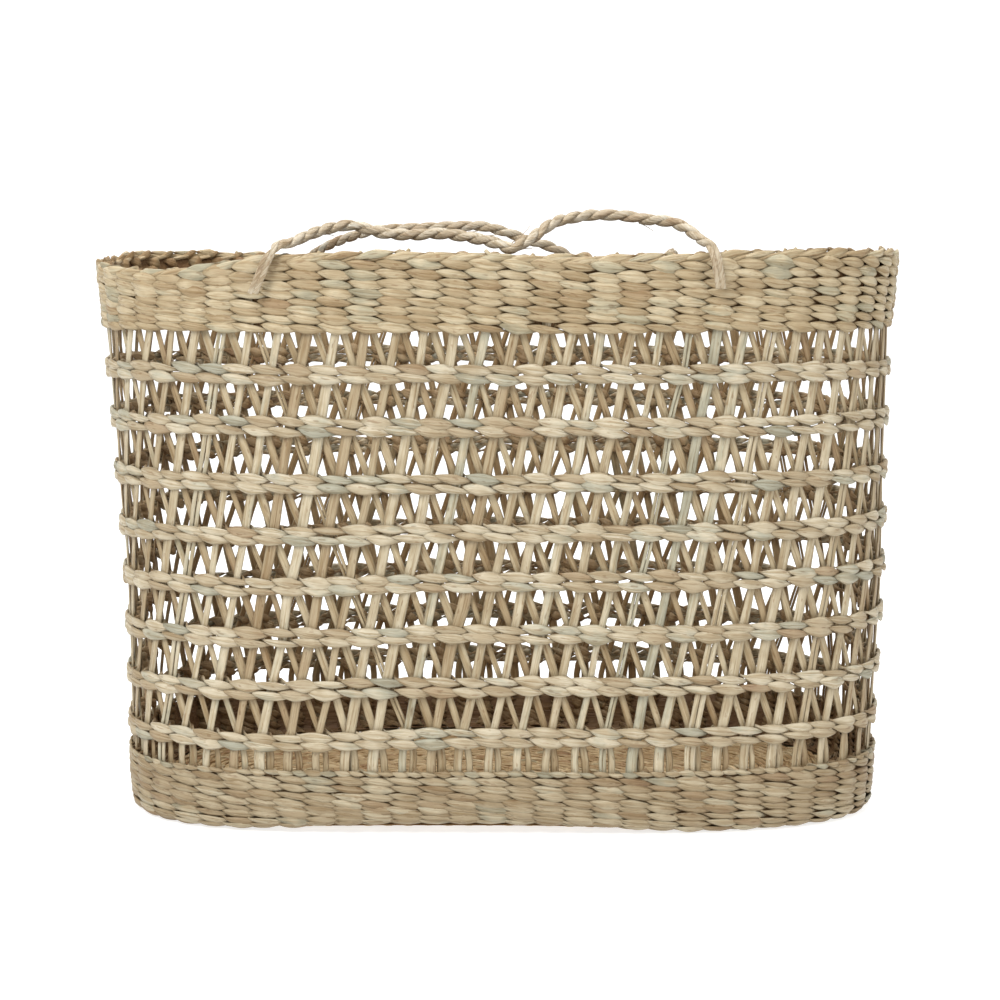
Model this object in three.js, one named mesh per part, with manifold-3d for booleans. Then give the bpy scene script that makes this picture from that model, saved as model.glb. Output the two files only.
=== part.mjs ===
import * as THREE from 'three';
import { mergeVertices } from 'three/addons/utils/BufferGeometryUtils.js';
import Module from 'manifold-3d';

const wasm = await Module();
wasm.setup();

// Driving dimensions, in millimetres. The long side lies along X, the front faces -Y, and the
// origin is at the middle of the underside.
const rimLength = 400;        // outside of the rim, left to right
const rimWidth = 200;         // outside of the rim, front to back
const basketHeight = 271;     // underside of the floor to the top of the rim
const rimBandHeight = 34;     // dense band at the mouth
const baseBandHeight = 31.4;  // underside of the floor to the top of the dense band round it
const baseEdgeHeight = 14;    // rounded part of the base band
const baseEdgeLift = 6.5;     // the rounded edge rises this far in the middle of each long side
const baseLiftMiddle = -20;   // where along the long side that middle is
const floorThickness = 3;
const rowThickness = 2;       // twined row, measured out from the stakes
const stakeThickness = 1.4;   // one blade of straw
const outerStakeWidth = 4.6;
const innerStakeWidth = 3.8;
const rowHeight = 11;         // one double twined row
const bindingHeight = 4;      // row that closes each end of the stakes
const stakeCount = 72;        // blades in each family
const panelCount = 8;         // panels round the basket that each family is made in
const rowCount = 8;
const ropeRadius = 3.1;       // handle rope
const handleRise = 18;        // rope's highest point above the rim
const handleLean = 46;        // how far the rope leans in over the mouth
const floorSetBack = 5;       // from the wall's inner face to the floor's edge
const gap = 0.3;              // between pieces that touch
const crossingGap = 1.0;      // between the two families of stakes

const stationCount = 44;      // facets round the basket
const wallThickness = rowThickness + 2 * stakeThickness + gap + crossingGap;

// Sections of the outer face. Height is a share of basketHeight, the sizes are shares of half of
// rimLength and of rimWidth: the wall is hand made, so its left and right sides differ. An exponent
// of 2 is an ellipse and more is squarer: the basket is squarer at the foot than at the mouth.
const wallProfile = [
  { height: 0.000, left: 0.920, right: 0.949, width: 0.930, exponent: 3.6 },
  { height: 0.116, left: 0.922, right: 0.952, width: 0.935, exponent: 3.5 },
  { height: 0.413, left: 0.930, right: 0.972, width: 0.943, exponent: 3.1 },
  { height: 0.875, left: 0.973, right: 0.978, width: 0.970, exponent: 2.6 },
  { height: 1.000, left: 0.994, right: 0.994, width: 1.000, exponent: 2.5 },
];

// Middle of each double row, top row first, as a share of the open part of the wall.
const rowShares = [0.902, 0.784, 0.660, 0.547, 0.435, 0.317, 0.196, 0.077];

// How far a blade shifts along the wall over the open part, as a share of one blade's pitch.
// Seen from outside, the outer family goes left as it goes down and the inner family right.
const outerShift = -3.1;
const innerShift = 5.4;

// The rim sags at one front corner and is a little lower at the back.
const rimSag = { depth: 7.5, along: -0.84, across: -0.66, reach: 30 };
const backRimDrop = 1.6;

// The lower rows droop towards the left end. Depth is a share of droopDepth, from and to are shares of
// half the rim's length, fullBelow and noneAbove are shares of basketHeight.
const droopDepth = 3.2;
const rowDroop = [
  { depth: 1.00, from: 0.10, to: 0.60 },
  { depth: 0.75, from: 0.75, to: 0.97 },
];
const droopHeights = { fullBelow: 0.45, noneAbove: 0.70 };

// Rope routes. Along is a share of half the rim's length, lean a share of handleLean measured in
// from the wall's outer face, rise a share of handleRise above the rim, girth a share of the
// rope's radius: the split ends are thinner.
const frontRoute = [
  { along: -0.545, lean: -0.075, rise: -1.00, girth: 0.66 },
  { along: -0.528, lean: -0.082, rise: -0.58, girth: 0.68 },
  { along: -0.508, lean: -0.075, rise: -0.10, girth: 0.70 },
  { along: -0.488, lean: 0.030, rise: 0.190, girth: 0.72 },
  { along: -0.465, lean: 0.190, rise: 0.250, girth: 0.85 },
  { along: -0.424, lean: 0.460, rise: 0.480, girth: 1.00 },
  { along: -0.384, lean: 0.680, rise: 0.640, girth: 1.00 },
  { along: -0.335, lean: 0.840, rise: 0.720, girth: 1.00 },
  { along: -0.268, lean: 0.790, rise: 0.530, girth: 1.00 },
  { along: -0.196, lean: 0.720, rise: 0.470, girth: 1.00 },
  { along: -0.126, lean: 0.650, rise: 0.500, girth: 1.00 },
  { along: -0.055, lean: 0.520, rise: 0.390, girth: 1.00 },
  { along: -0.002, lean: 0.360, rise: 0.260, girth: 1.00 },
  { along: 0.034, lean: 0.240, rise: 0.120, girth: 1.00 },
  { along: 0.058, lean: 0.320, rise: 0.240, girth: 1.00 },
  { along: 0.085, lean: 0.430, rise: 0.390, girth: 1.00 },
  { along: 0.110, lean: 0.560, rise: 0.620, girth: 1.00 },
  { along: 0.140, lean: 0.690, rise: 0.800, girth: 1.00 },
  { along: 0.177, lean: 0.820, rise: 0.910, girth: 1.00 },
  { along: 0.226, lean: 0.940, rise: 0.985, girth: 1.00 },
  { along: 0.286, lean: 0.960, rise: 0.985, girth: 1.00 },
  { along: 0.349, lean: 0.840, rise: 0.880, girth: 1.00 },
  { along: 0.405, lean: 0.630, rise: 0.790, girth: 1.00 },
  { along: 0.437, lean: 0.430, rise: 0.620, girth: 1.00 },
  { along: 0.466, lean: 0.200, rise: 0.320, girth: 0.85 },
  { along: 0.482, lean: 0.030, rise: 0.190, girth: 0.72 },
  { along: 0.492, lean: -0.075, rise: -0.10, girth: 0.70 },
  { along: 0.499, lean: -0.082, rise: -0.50, girth: 0.68 },
  { along: 0.505, lean: -0.075, rise: -0.88, girth: 0.66 },
];
const backRoute = [
  { along: -0.535, lean: -0.075, rise: -0.98, girth: 0.62 },
  { along: -0.525, lean: -0.080, rise: -0.58, girth: 0.62 },
  { along: -0.514, lean: -0.075, rise: -0.14, girth: 0.62 },
  { along: -0.506, lean: -0.040, rise: 0.120, girth: 0.62 },
  { along: -0.496, lean: 0.050, rise: 0.185, girth: 0.64 },
  { along: -0.482, lean: 0.180, rise: 0.230, girth: 0.80 },
  { along: -0.445, lean: 0.400, rise: 0.410, girth: 1.00 },
  { along: -0.399, lean: 0.620, rise: 0.580, girth: 1.00 },
  { along: -0.356, lean: 0.800, rise: 0.710, girth: 1.00 },
  { along: -0.306, lean: 0.930, rise: 0.810, girth: 1.00 },
  { along: -0.200, lean: 1.060, rise: 0.860, girth: 1.00 },
  { along: -0.090, lean: 1.120, rise: 0.910, girth: 1.00 },
  { along: -0.037, lean: 1.120, rise: 0.900, girth: 1.00 },
  { along: 0.030, lean: 1.080, rise: 0.720, girth: 1.00 },
  { along: 0.070, lean: 1.040, rise: 0.560, girth: 1.00 },
  { along: 0.132, lean: 0.970, rise: 0.360, girth: 1.00 },
  { along: 0.173, lean: 0.890, rise: 0.160, girth: 1.00 },
  { along: 0.215, lean: 0.800, rise: -0.110, girth: 1.00 },
  { along: 0.256, lean: 0.710, rise: -0.260, girth: 1.00 },
  { along: 0.312, lean: 0.560, rise: -0.400, girth: 1.00 },
  { along: 0.380, lean: 0.380, rise: -0.380, girth: 1.00 },
  { along: 0.436, lean: 0.250, rise: -0.180, girth: 0.90 },
  { along: 0.470, lean: 0.190, rise: 0.100, girth: 0.66 },
  { along: 0.482, lean: 0.070, rise: 0.180, girth: 0.62 },
  { along: 0.490, lean: -0.030, rise: 0.130, girth: 0.62 },
  { along: 0.498, lean: -0.075, rise: -0.14, girth: 0.62 },
  { along: 0.507, lean: -0.080, rise: -0.58, girth: 0.62 },
  { along: 0.515, lean: -0.075, rise: -0.98, girth: 0.62 },
];

const pale = new THREE.MeshStandardMaterial({ color: 0xcbbd94, roughness: 0.75, metalness: 0 });
const warm = new THREE.MeshStandardMaterial({ color: 0xbfa878, roughness: 0.75, metalness: 0 });
const green = new THREE.MeshStandardMaterial({ color: 0xc4bd98, roughness: 0.72, metalness: 0 });
const rope = new THREE.MeshStandardMaterial({ color: 0xb9a178, roughness: 0.8, metalness: 0 });

// Point of a quarter of a section at a plan angle from 0 to pi / 2, with the direction that leaves it.
function sectionAt(section, right, angle) {
  const half = ((right ? section.right : section.left) * rimLength) / 2;
  const width = (section.width * rimWidth) / 2;
  const n = section.exponent;
  const u = Math.max(0, Math.cos(angle));
  const v = Math.max(0, Math.sin(angle));
  const reach = Math.pow(Math.pow(u, n) + Math.pow(v, n), -1 / n);
  const normal = new THREE.Vector2(Math.pow(u * reach, n - 1) / half, Math.pow(v * reach, n - 1) / width);
  return { point: new THREE.Vector2(half * u * reach, width * v * reach), normal: normal.normalize() };
}

// Length of each section along a quarter of it, for its right and its left side.
const quarterSteps = 360;
const quarterLengths = wallProfile.map((section) => [false, true].map((right) => {
  const lengths = [0];
  let before = sectionAt(section, right, 0).point;
  for (let i = 1; i <= quarterSteps; i += 1) {
    const here = sectionAt(section, right, (0.5 * Math.PI * i) / quarterSteps).point;
    lengths.push(lengths[i - 1] + here.distanceTo(before));
    before = here;
  }
  return lengths;
}));

// Point of a section where a turn leads, with the direction that leaves it. A turn of pi / 2 is a
// quarter of the way round, and within a quarter the turn grows with the length along the section.
function turnedAt(level, turn) {
  const quarter = Math.floor(turn / (0.5 * Math.PI) + 1e-9);
  const share = turn / (0.5 * Math.PI) - quarter;
  const right = quarter % 4 === 0 || quarter % 4 === 3;
  const lengths = quarterLengths[level][right ? 1 : 0];
  const wanted = (quarter % 2 === 0 ? share : 1 - share) * lengths[quarterSteps];
  let k = 1;
  while (k < quarterSteps && lengths[k] < wanted) k += 1;
  const step = k - 1 + (wanted - lengths[k - 1]) / (lengths[k] - lengths[k - 1]);
  const angle = (0.5 * Math.PI * step) / quarterSteps;
  const found = sectionAt(wallProfile[level], right, angle);
  const flip = new THREE.Vector2(right ? 1 : -1, quarter % 4 < 2 ? 1 : -1);
  return { point: found.point.multiply(flip), normal: found.normal.multiply(flip) };
}

// Point of the wall at a turn and height, set in from the outer face along its normal. The wall is
// straight from each section to the next.
function wallAt(turn, z, inset) {
  const share = THREE.MathUtils.clamp(z / basketHeight, 0, 1);
  let k = 1;
  while (k < wallProfile.length - 1 && wallProfile[k].height < share) k += 1;
  const f = (share - wallProfile[k - 1].height) / (wallProfile[k].height - wallProfile[k - 1].height);
  const low = turnedAt(k - 1, turn);
  const high = turnedAt(k, turn);
  const normal = low.normal.lerp(high.normal, f).normalize();
  return low.point.lerp(high.point, f).addScaledVector(normal, -inset);
}

// Turns of the facets, closer together where the wall bends and alike in all four quarters.
function stationTurns() {
  const fine = 720;
  const middle = basketHeight / 2;
  const quarter = stationCount / 4;
  const turns = [];
  const weights = [0];
  let before = wallAt(0, middle, 0);
  let heading = Math.PI / 2;
  for (let i = 0; i <= fine; i += 1) turns.push((0.5 * Math.PI * i) / fine);
  for (let i = 1; i <= fine; i += 1) {
    const here = wallAt(turns[i], middle, 0);
    const step = here.clone().sub(before);
    const next = Math.atan2(step.y, step.x);
    weights.push(weights[i - 1] + step.length() / rimWidth + 0.45 * Math.abs(next - heading));
    before = here;
    heading = next;
  }
  const picked = [];
  let k = 0;
  for (let i = 0; i <= quarter; i += 1) {
    while (k < fine && weights[k] < (weights[fine] * i) / quarter) k += 1;
    picked.push(turns[k]);
  }
  const all = [];
  for (let i = 0; i < quarter; i += 1) all.push(picked[i]);
  for (let i = quarter; i > 0; i -= 1) all.push(Math.PI - picked[i]);
  for (let i = 0; i < quarter; i += 1) all.push(Math.PI + picked[i]);
  for (let i = quarter; i > 0; i -= 1) all.push(2 * Math.PI - picked[i]);
  return all;
}

const stations = stationTurns();

// Length of the faceted wall up to each station, at mid height in the stake layer.
const stationLengths = (() => {
  const points = stations.map((turn) => wallAt(turn, basketHeight / 2, wallThickness / 2));
  const lengths = [0];
  for (let k = 0; k < stationCount; k += 1) {
    lengths.push(lengths[k] + points[k].distanceTo(points[(k + 1) % stationCount]));
  }
  return lengths;
})();
const girth = stationLengths[stationCount];

// Station number, with its fraction, at a length along the wall.
function stationAt(length) {
  const wrapped = ((length % girth) + girth) % girth;
  let k = 0;
  while (k < stationCount - 1 && stationLengths[k + 1] <= wrapped) k += 1;
  return k + (wrapped - stationLengths[k]) / (stationLengths[k + 1] - stationLengths[k]);
}

// Point of the faceted wall at a station number.
function facetAt(station, z, inset) {
  const k = Math.floor(station) % stationCount;
  const from = wallAt(stations[k], z, inset);
  const to = wallAt(stations[(k + 1) % stationCount], z, inset);
  return from.lerp(to, station - Math.floor(station));
}

// How far the top of the rim lies below its nominal height.
function rimDrop(x, y) {
  const dx = x - (rimSag.along * rimLength) / 2;
  const dy = y - (rimSag.across * rimWidth) / 2;
  const sag = rimSag.depth * Math.exp(-(dx * dx + dy * dy) / (2 * rimSag.reach * rimSag.reach));
  const back = backRimDrop * THREE.MathUtils.smoothstep(y, 0, rimWidth / 3);
  return sag + back;
}

// How far a row at a height has drooped.
function droopAt(x, z) {
  const share = (-2 * x) / rimLength;
  const fade = 1 - THREE.MathUtils.smoothstep(z / basketHeight, droopHeights.fullBelow, droopHeights.noneAbove);
  let depth = 0;
  for (const bend of rowDroop) {
    depth += droopDepth * bend.depth * THREE.MathUtils.smoothstep(share, bend.from, bend.to);
  }
  return depth * fade;
}

// How far the base band's rounded edge is lifted: most at the underside, in the middle of each side.
function edgeLift(x, z) {
  const middle = 1 - THREE.MathUtils.smoothstep(Math.abs(x - baseLiftMiddle) / (rimLength / 2), 0.1, 0.62);
  return baseEdgeLift * middle * Math.max(0, 1 - z / baseEdgeHeight);
}

function closed(geometry) {
  const bare = geometry.clone();
  bare.deleteAttribute('normal');
  bare.deleteAttribute('uv');
  return mergeVertices(bare, 1e-4);
}

function toSolid(geometry) {
  const merged = closed(geometry);
  return new wasm.Manifold(new wasm.Mesh({
    numProp: 3,
    vertProperties: new Float32Array(merged.attributes.position.array),
    triVerts: new Uint32Array(merged.index.array),
  }));
}

function toGeometry(solid) {
  const mesh = solid.getMesh();
  const geometry = new THREE.BufferGeometry();
  geometry.setAttribute('position', new THREE.BufferAttribute(new Float32Array(mesh.vertProperties), 3));
  geometry.setIndex(new THREE.BufferAttribute(new Uint32Array(mesh.triVerts), 1));
  geometry.computeVertexNormals();
  return geometry;
}

// A closed profile of insets and heights, taken round the facets of the wall. The profile runs
// anticlockwise with the outside of the wall on its right. Raise gives how far a point is moved up.
function wallRing(profile, raise = () => 0) {
  const centre = 1000;
  const outline = profile.map(([inset, z]) => new THREE.Vector2(centre - inset, z));
  outline.push(outline[0].clone());
  const geometry = closed(new THREE.LatheGeometry(outline, stationCount));
  const position = geometry.attributes.position;
  for (let i = 0; i < position.count; i += 1) {
    const inset = centre - Math.hypot(position.getX(i), position.getZ(i));
    const z = position.getY(i);
    const turn = Math.atan2(position.getX(i), position.getZ(i)) / (2 * Math.PI);
    const k = ((Math.round(turn * stationCount) % stationCount) + stationCount) % stationCount;
    const point = wallAt(stations[k], z, inset);
    position.setXYZ(i, point.x, point.y, z + raise(point, z, inset));
  }
  return geometry;
}

// Open part of the wall, between the bands.
const openBottom = baseBandHeight + gap;
const openTop = basketHeight - rimBandHeight - gap;
const stakeBottom = openBottom - bindingHeight;
const stakeTop = openTop + bindingHeight;

function makeFloor() {
  const inset = wallThickness + floorSetBack;
  const points = stations.map((turn) => wallAt(turn, 0, inset));
  const geometry = new THREE.ExtrudeGeometry(new THREE.Shape(points), { depth: floorThickness, bevelEnabled: false });
  return closed(geometry);
}

function makeBaseBand() {
  const lip = wallThickness + floorSetBack - gap;
  const bindingFloor = stakeBottom - gap;
  return wallRing([
    [lip, 0.3], [5, 0.8], [1.6, 4.4], [0, baseEdgeHeight], [0, baseBandHeight], [rowThickness, baseBandHeight],
    [rowThickness, bindingFloor], [wallThickness, bindingFloor], [wallThickness, floorThickness + gap],
    [lip, floorThickness + gap],
  ], (point, z, inset) => (inset < wallThickness - gap ? edgeLift(point.x, z) : 0));
}

function makeRimBand() {
  const bottom = basketHeight - rimBandHeight;
  const bindingRoof = stakeTop + gap;
  return wallRing([
    [rowThickness, bottom], [0, bottom + 0.8], [0, basketHeight - 2],
    [1.6, basketHeight], [wallThickness - 1.6, basketHeight], [wallThickness, basketHeight - 2],
    [wallThickness, bindingRoof], [rowThickness, bindingRoof],
  ], (point, z) => -rimDrop(point.x, point.y) * Math.max(0, (z - bindingRoof) / (basketHeight - bindingRoof)));
}

function makeRow(index) {
  const middle = openBottom + rowShares[index] * (openTop - openBottom);
  const half = rowHeight / 2;
  return wallRing([
    [rowThickness, middle - half], [0, middle - half + 1.6], [0, middle + half - 1.6], [rowThickness, middle + half],
  ], (point) => -droopAt(point.x, middle));
}

// Heights at which a blade bends, where the wall's outline does.
function bladeHeights(low, high) {
  const bends = wallProfile.map(({ height }) => height * basketHeight).filter((z) => z > low + 2 && z < high - 2);
  return [low, ...bends, high];
}

// Lengths along the wall where something that follows it from one length to another bends.
function bendsBetween(from, to) {
  const bends = [];
  for (let turn = -1; turn <= 1; turn += 1) {
    for (let k = 0; k < stationCount; k += 1) {
      const length = stationLengths[k] + turn * girth;
      if (length > from + 0.5 && length < to - 0.5) bends.push(length);
    }
  }
  return [from, ...bends, to];
}

// A level strip that follows the facets of the wall.
function wallStrip(from, to, outerInset, innerInset, low, high) {
  const bends = bendsBetween(from, to);
  const strip = new THREE.BoxGeometry(bends.length - 1, 1, 1, bends.length - 1, 1, 1);
  const position = strip.attributes.position;
  for (let v = 0; v < position.count; v += 1) {
    const along = bends[Math.round(position.getX(v) + (bends.length - 1) / 2)];
    const inset = position.getY(v) < 0 ? outerInset : innerInset;
    const z = position.getZ(v) < 0 ? low : high;
    const point = facetAt(stationAt(along), z, inset);
    position.setXYZ(v, point.x, point.y, z);
  }
  return toSolid(strip);
}

// One leaning blade, whose middle starts at a length along the wall.
function makeBlade(start, outerInset, width, shift) {
  const low = openBottom - 1;
  const high = openTop + 1;
  const sunk = 0.06;
  const heights = bladeHeights(low, high);
  const blade = new THREE.BoxGeometry(width, stakeThickness, heights.length - 1, 1, 1, heights.length - 1);
  const position = blade.attributes.position;
  for (let v = 0; v < position.count; v += 1) {
    const z = heights[Math.round(position.getZ(v) + (heights.length - 1) / 2)];
    const inset = position.getY(v) < 0 ? outerInset + sunk : outerInset + stakeThickness - sunk;
    const along = start + (shift * (openTop - z)) / (openTop - openBottom) + position.getX(v);
    const point = facetAt(stationAt(along), z, inset);
    position.setXYZ(v, point.x, point.y, z);
  }
  return toSolid(blade);
}

// One panel of a family of leaning blades, joined by a binding row at each end.
function makeStakePanel(panel, outerInset, width, pitchesShifted) {
  const innerInset = outerInset + stakeThickness;
  const pitch = girth / stakeCount;
  const shift = pitchesShifted * pitch;
  const first = Math.round((panel * stakeCount) / panelCount);
  const next = Math.round(((panel + 1) * stakeCount) / panelCount);
  const from = first * pitch + gap / 2;
  const to = next * pitch - gap / 2;
  let solid = wallStrip(from, to, outerInset, innerInset, openTop, stakeTop)
    .add(wallStrip(from + shift, to + shift, outerInset, innerInset, stakeBottom, openBottom));
  for (let i = first; i < next; i += 1) solid = solid.add(makeBlade((i + 0.5) * pitch, outerInset, width, shift));
  return toGeometry(solid);
}

// Distance from the long centre line to the rim's outer face, at a share of half its length.
function rimReach(along) {
  const { exponent } = wallProfile[wallProfile.length - 1];
  return (rimWidth / 2) * Math.pow(1 - Math.pow(Math.abs(along), exponent), 1 / exponent);
}

function makeHandle(route, side) {
  const points = route.map(({ along, lean, rise }) => new THREE.Vector3(
    (along * rimLength) / 2,
    side * (rimReach(along) - lean * handleLean),
    basketHeight + rise * handleRise - (side > 0 ? backRimDrop : 0),
  ));
  const path = new THREE.CatmullRomCurve3(points, false, 'centripetal');
  const steps = 46;
  const section = new THREE.Shape(new THREE.Path().absarc(0, 0, ropeRadius, 0, 2 * Math.PI, false).getSpacedPoints(8).slice(0, 8));
  const geometry = closed(new THREE.ExtrudeGeometry(section, { steps, extrudePath: path, bevelEnabled: false }));
  const centres = path.getSpacedPoints(steps);
  const position = geometry.attributes.position;
  const vertex = new THREE.Vector3();
  for (let i = 0; i < position.count; i += 1) {
    vertex.fromBufferAttribute(position, i);
    let nearest = centres[0];
    for (const centre of centres) {
      if (centre.distanceToSquared(vertex) < nearest.distanceToSquared(vertex)) nearest = centre;
    }
    const along = (2 * nearest.x) / rimLength;
    let k = 1;
    while (k < route.length - 1 && route[k].along < along) k += 1;
    const f = THREE.MathUtils.clamp((along - route[k - 1].along) / (route[k].along - route[k - 1].along), 0, 1);
    const girthShare = THREE.MathUtils.lerp(route[k - 1].girth, route[k].girth, f);
    vertex.sub(nearest).multiplyScalar(girthShare).add(nearest);
    position.setXYZ(i, vertex.x, vertex.y, vertex.z);
  }
  return geometry;
}

const group = new THREE.Group();

function addPiece(name, geometry, material) {
  const mesh = new THREE.Mesh(geometry, material);
  mesh.name = name;
  group.add(mesh);
}

const outerStakeInset = rowThickness + gap;
const innerStakeInset = outerStakeInset + stakeThickness + crossingGap;
addPiece('base_floor', makeFloor(), warm);
addPiece('base_band', makeBaseBand(), warm);
for (let i = 0; i < panelCount; i += 1) {
  addPiece(`outer_stakes_${i + 1}`, makeStakePanel(i, outerStakeInset, outerStakeWidth, outerShift), pale);
  addPiece(`inner_stakes_${i + 1}`, makeStakePanel(i, innerStakeInset, innerStakeWidth, innerShift), warm);
}
for (let i = 0; i < rowCount; i += 1) addPiece(`twining_row_${i + 1}`, makeRow(i), green);
addPiece('rim_band', makeRimBand(), pale);
addPiece('front_handle', makeHandle(frontRoute, -1), rope);
addPiece('back_handle', makeHandle(backRoute, 1), rope);

export default group;
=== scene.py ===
"""Looks of the straw basket bag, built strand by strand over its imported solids.

Sizes are in millimetres, as in the part's source, and turn to metres when a mesh is made. The
long side lies along X and the front faces -Y.
"""

import logging
import math
from dataclasses import astuple, dataclass, field, replace
from enum import Enum
from functools import cached_property
from typing import Sequence

import bpy
import numpy as np
from mathutils import Euler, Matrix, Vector


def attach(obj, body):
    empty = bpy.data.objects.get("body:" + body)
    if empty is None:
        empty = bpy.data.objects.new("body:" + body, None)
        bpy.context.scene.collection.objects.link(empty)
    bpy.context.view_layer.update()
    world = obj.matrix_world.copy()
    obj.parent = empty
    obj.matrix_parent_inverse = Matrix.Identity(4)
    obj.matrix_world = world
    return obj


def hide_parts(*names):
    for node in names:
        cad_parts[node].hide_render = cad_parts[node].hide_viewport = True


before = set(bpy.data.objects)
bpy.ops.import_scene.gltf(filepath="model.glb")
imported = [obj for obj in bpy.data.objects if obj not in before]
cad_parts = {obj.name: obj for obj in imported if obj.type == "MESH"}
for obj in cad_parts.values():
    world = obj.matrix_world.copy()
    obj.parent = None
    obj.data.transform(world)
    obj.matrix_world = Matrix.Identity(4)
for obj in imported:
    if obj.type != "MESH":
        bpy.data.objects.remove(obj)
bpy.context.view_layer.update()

LOG = logging.getLogger("basket")
MM = 0.001
SEED = 41
PANEL_COUNT = 8
WHITE = (1.0, 1.0, 1.0, 1.0)
Colour = tuple[float, float, float]
Place = tuple[float, float, float]

# The two families of stakes part by this many pitches down the open wall, and each takes its share.
PARTED = 8.36
OUTER_SHARE = -0.36
INNER_SHARE = 0.64
# Height above the open wall up to which the rim's rows lie level.
RIM_STILL = 4.3
# Tone of the dark layers behind close rows, which paint shade into the slits between them.
SHADE_LAYER_TONE = 0.1
# Furthest place along the straw where a strand's grain may start.
GRAIN_REACH = 4000.0


def signed_power(value: np.ndarray, power: float) -> np.ndarray:
    """Raises the size of each value to a power and keeps its sign."""
    return np.sign(value) * np.abs(value) ** power


def smooth_step(value: np.ndarray, low: float, high: float) -> np.ndarray:
    """Rises smoothly from 0 at low to 1 at high."""
    share = np.clip((value - low) / (high - low), 0.0, 1.0)
    return share * share * (3.0 - 2.0 * share)


def unit(vectors: np.ndarray) -> np.ndarray:
    """Scales each vector of an array to length 1."""
    return vectors / np.maximum(np.linalg.norm(vectors, axis=-1, keepdims=True), 1e-9)


def held_values(rng: np.random.Generator, count: int, spread: float, where: np.ndarray) -> np.ndarray:
    """Random offsets, one for each float of a closed row, blended from float to float.

    Args:
        rng: source of the random numbers.
        count: number of floats round the row.
        spread: standard deviation of an offset.
        where: places along the row, in floats.

    Returns:
        The offset at each place.
    """
    values = np.clip(rng.normal(0.0, spread, count), -2.0 * spread, 2.0 * spread)
    return np.interp(np.mod(where, count), np.arange(count + 1), np.append(values, values[0]))


@dataclass(frozen=True)
class WallLevel:
    """A section of the wall's outer face: its height, its half sizes as shares, and how square it is."""

    height: float
    left: float
    right: float
    width: float
    exponent: float


@dataclass(frozen=True)
class RimWave:
    """How much higher the rim's top is at a place along its length, at the front and at the back."""

    x: float
    front: float
    back: float


@dataclass(frozen=True)
class Droop:
    """How far rows hang down between two places towards the left end."""

    depth: float
    start: float
    end: float


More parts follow.
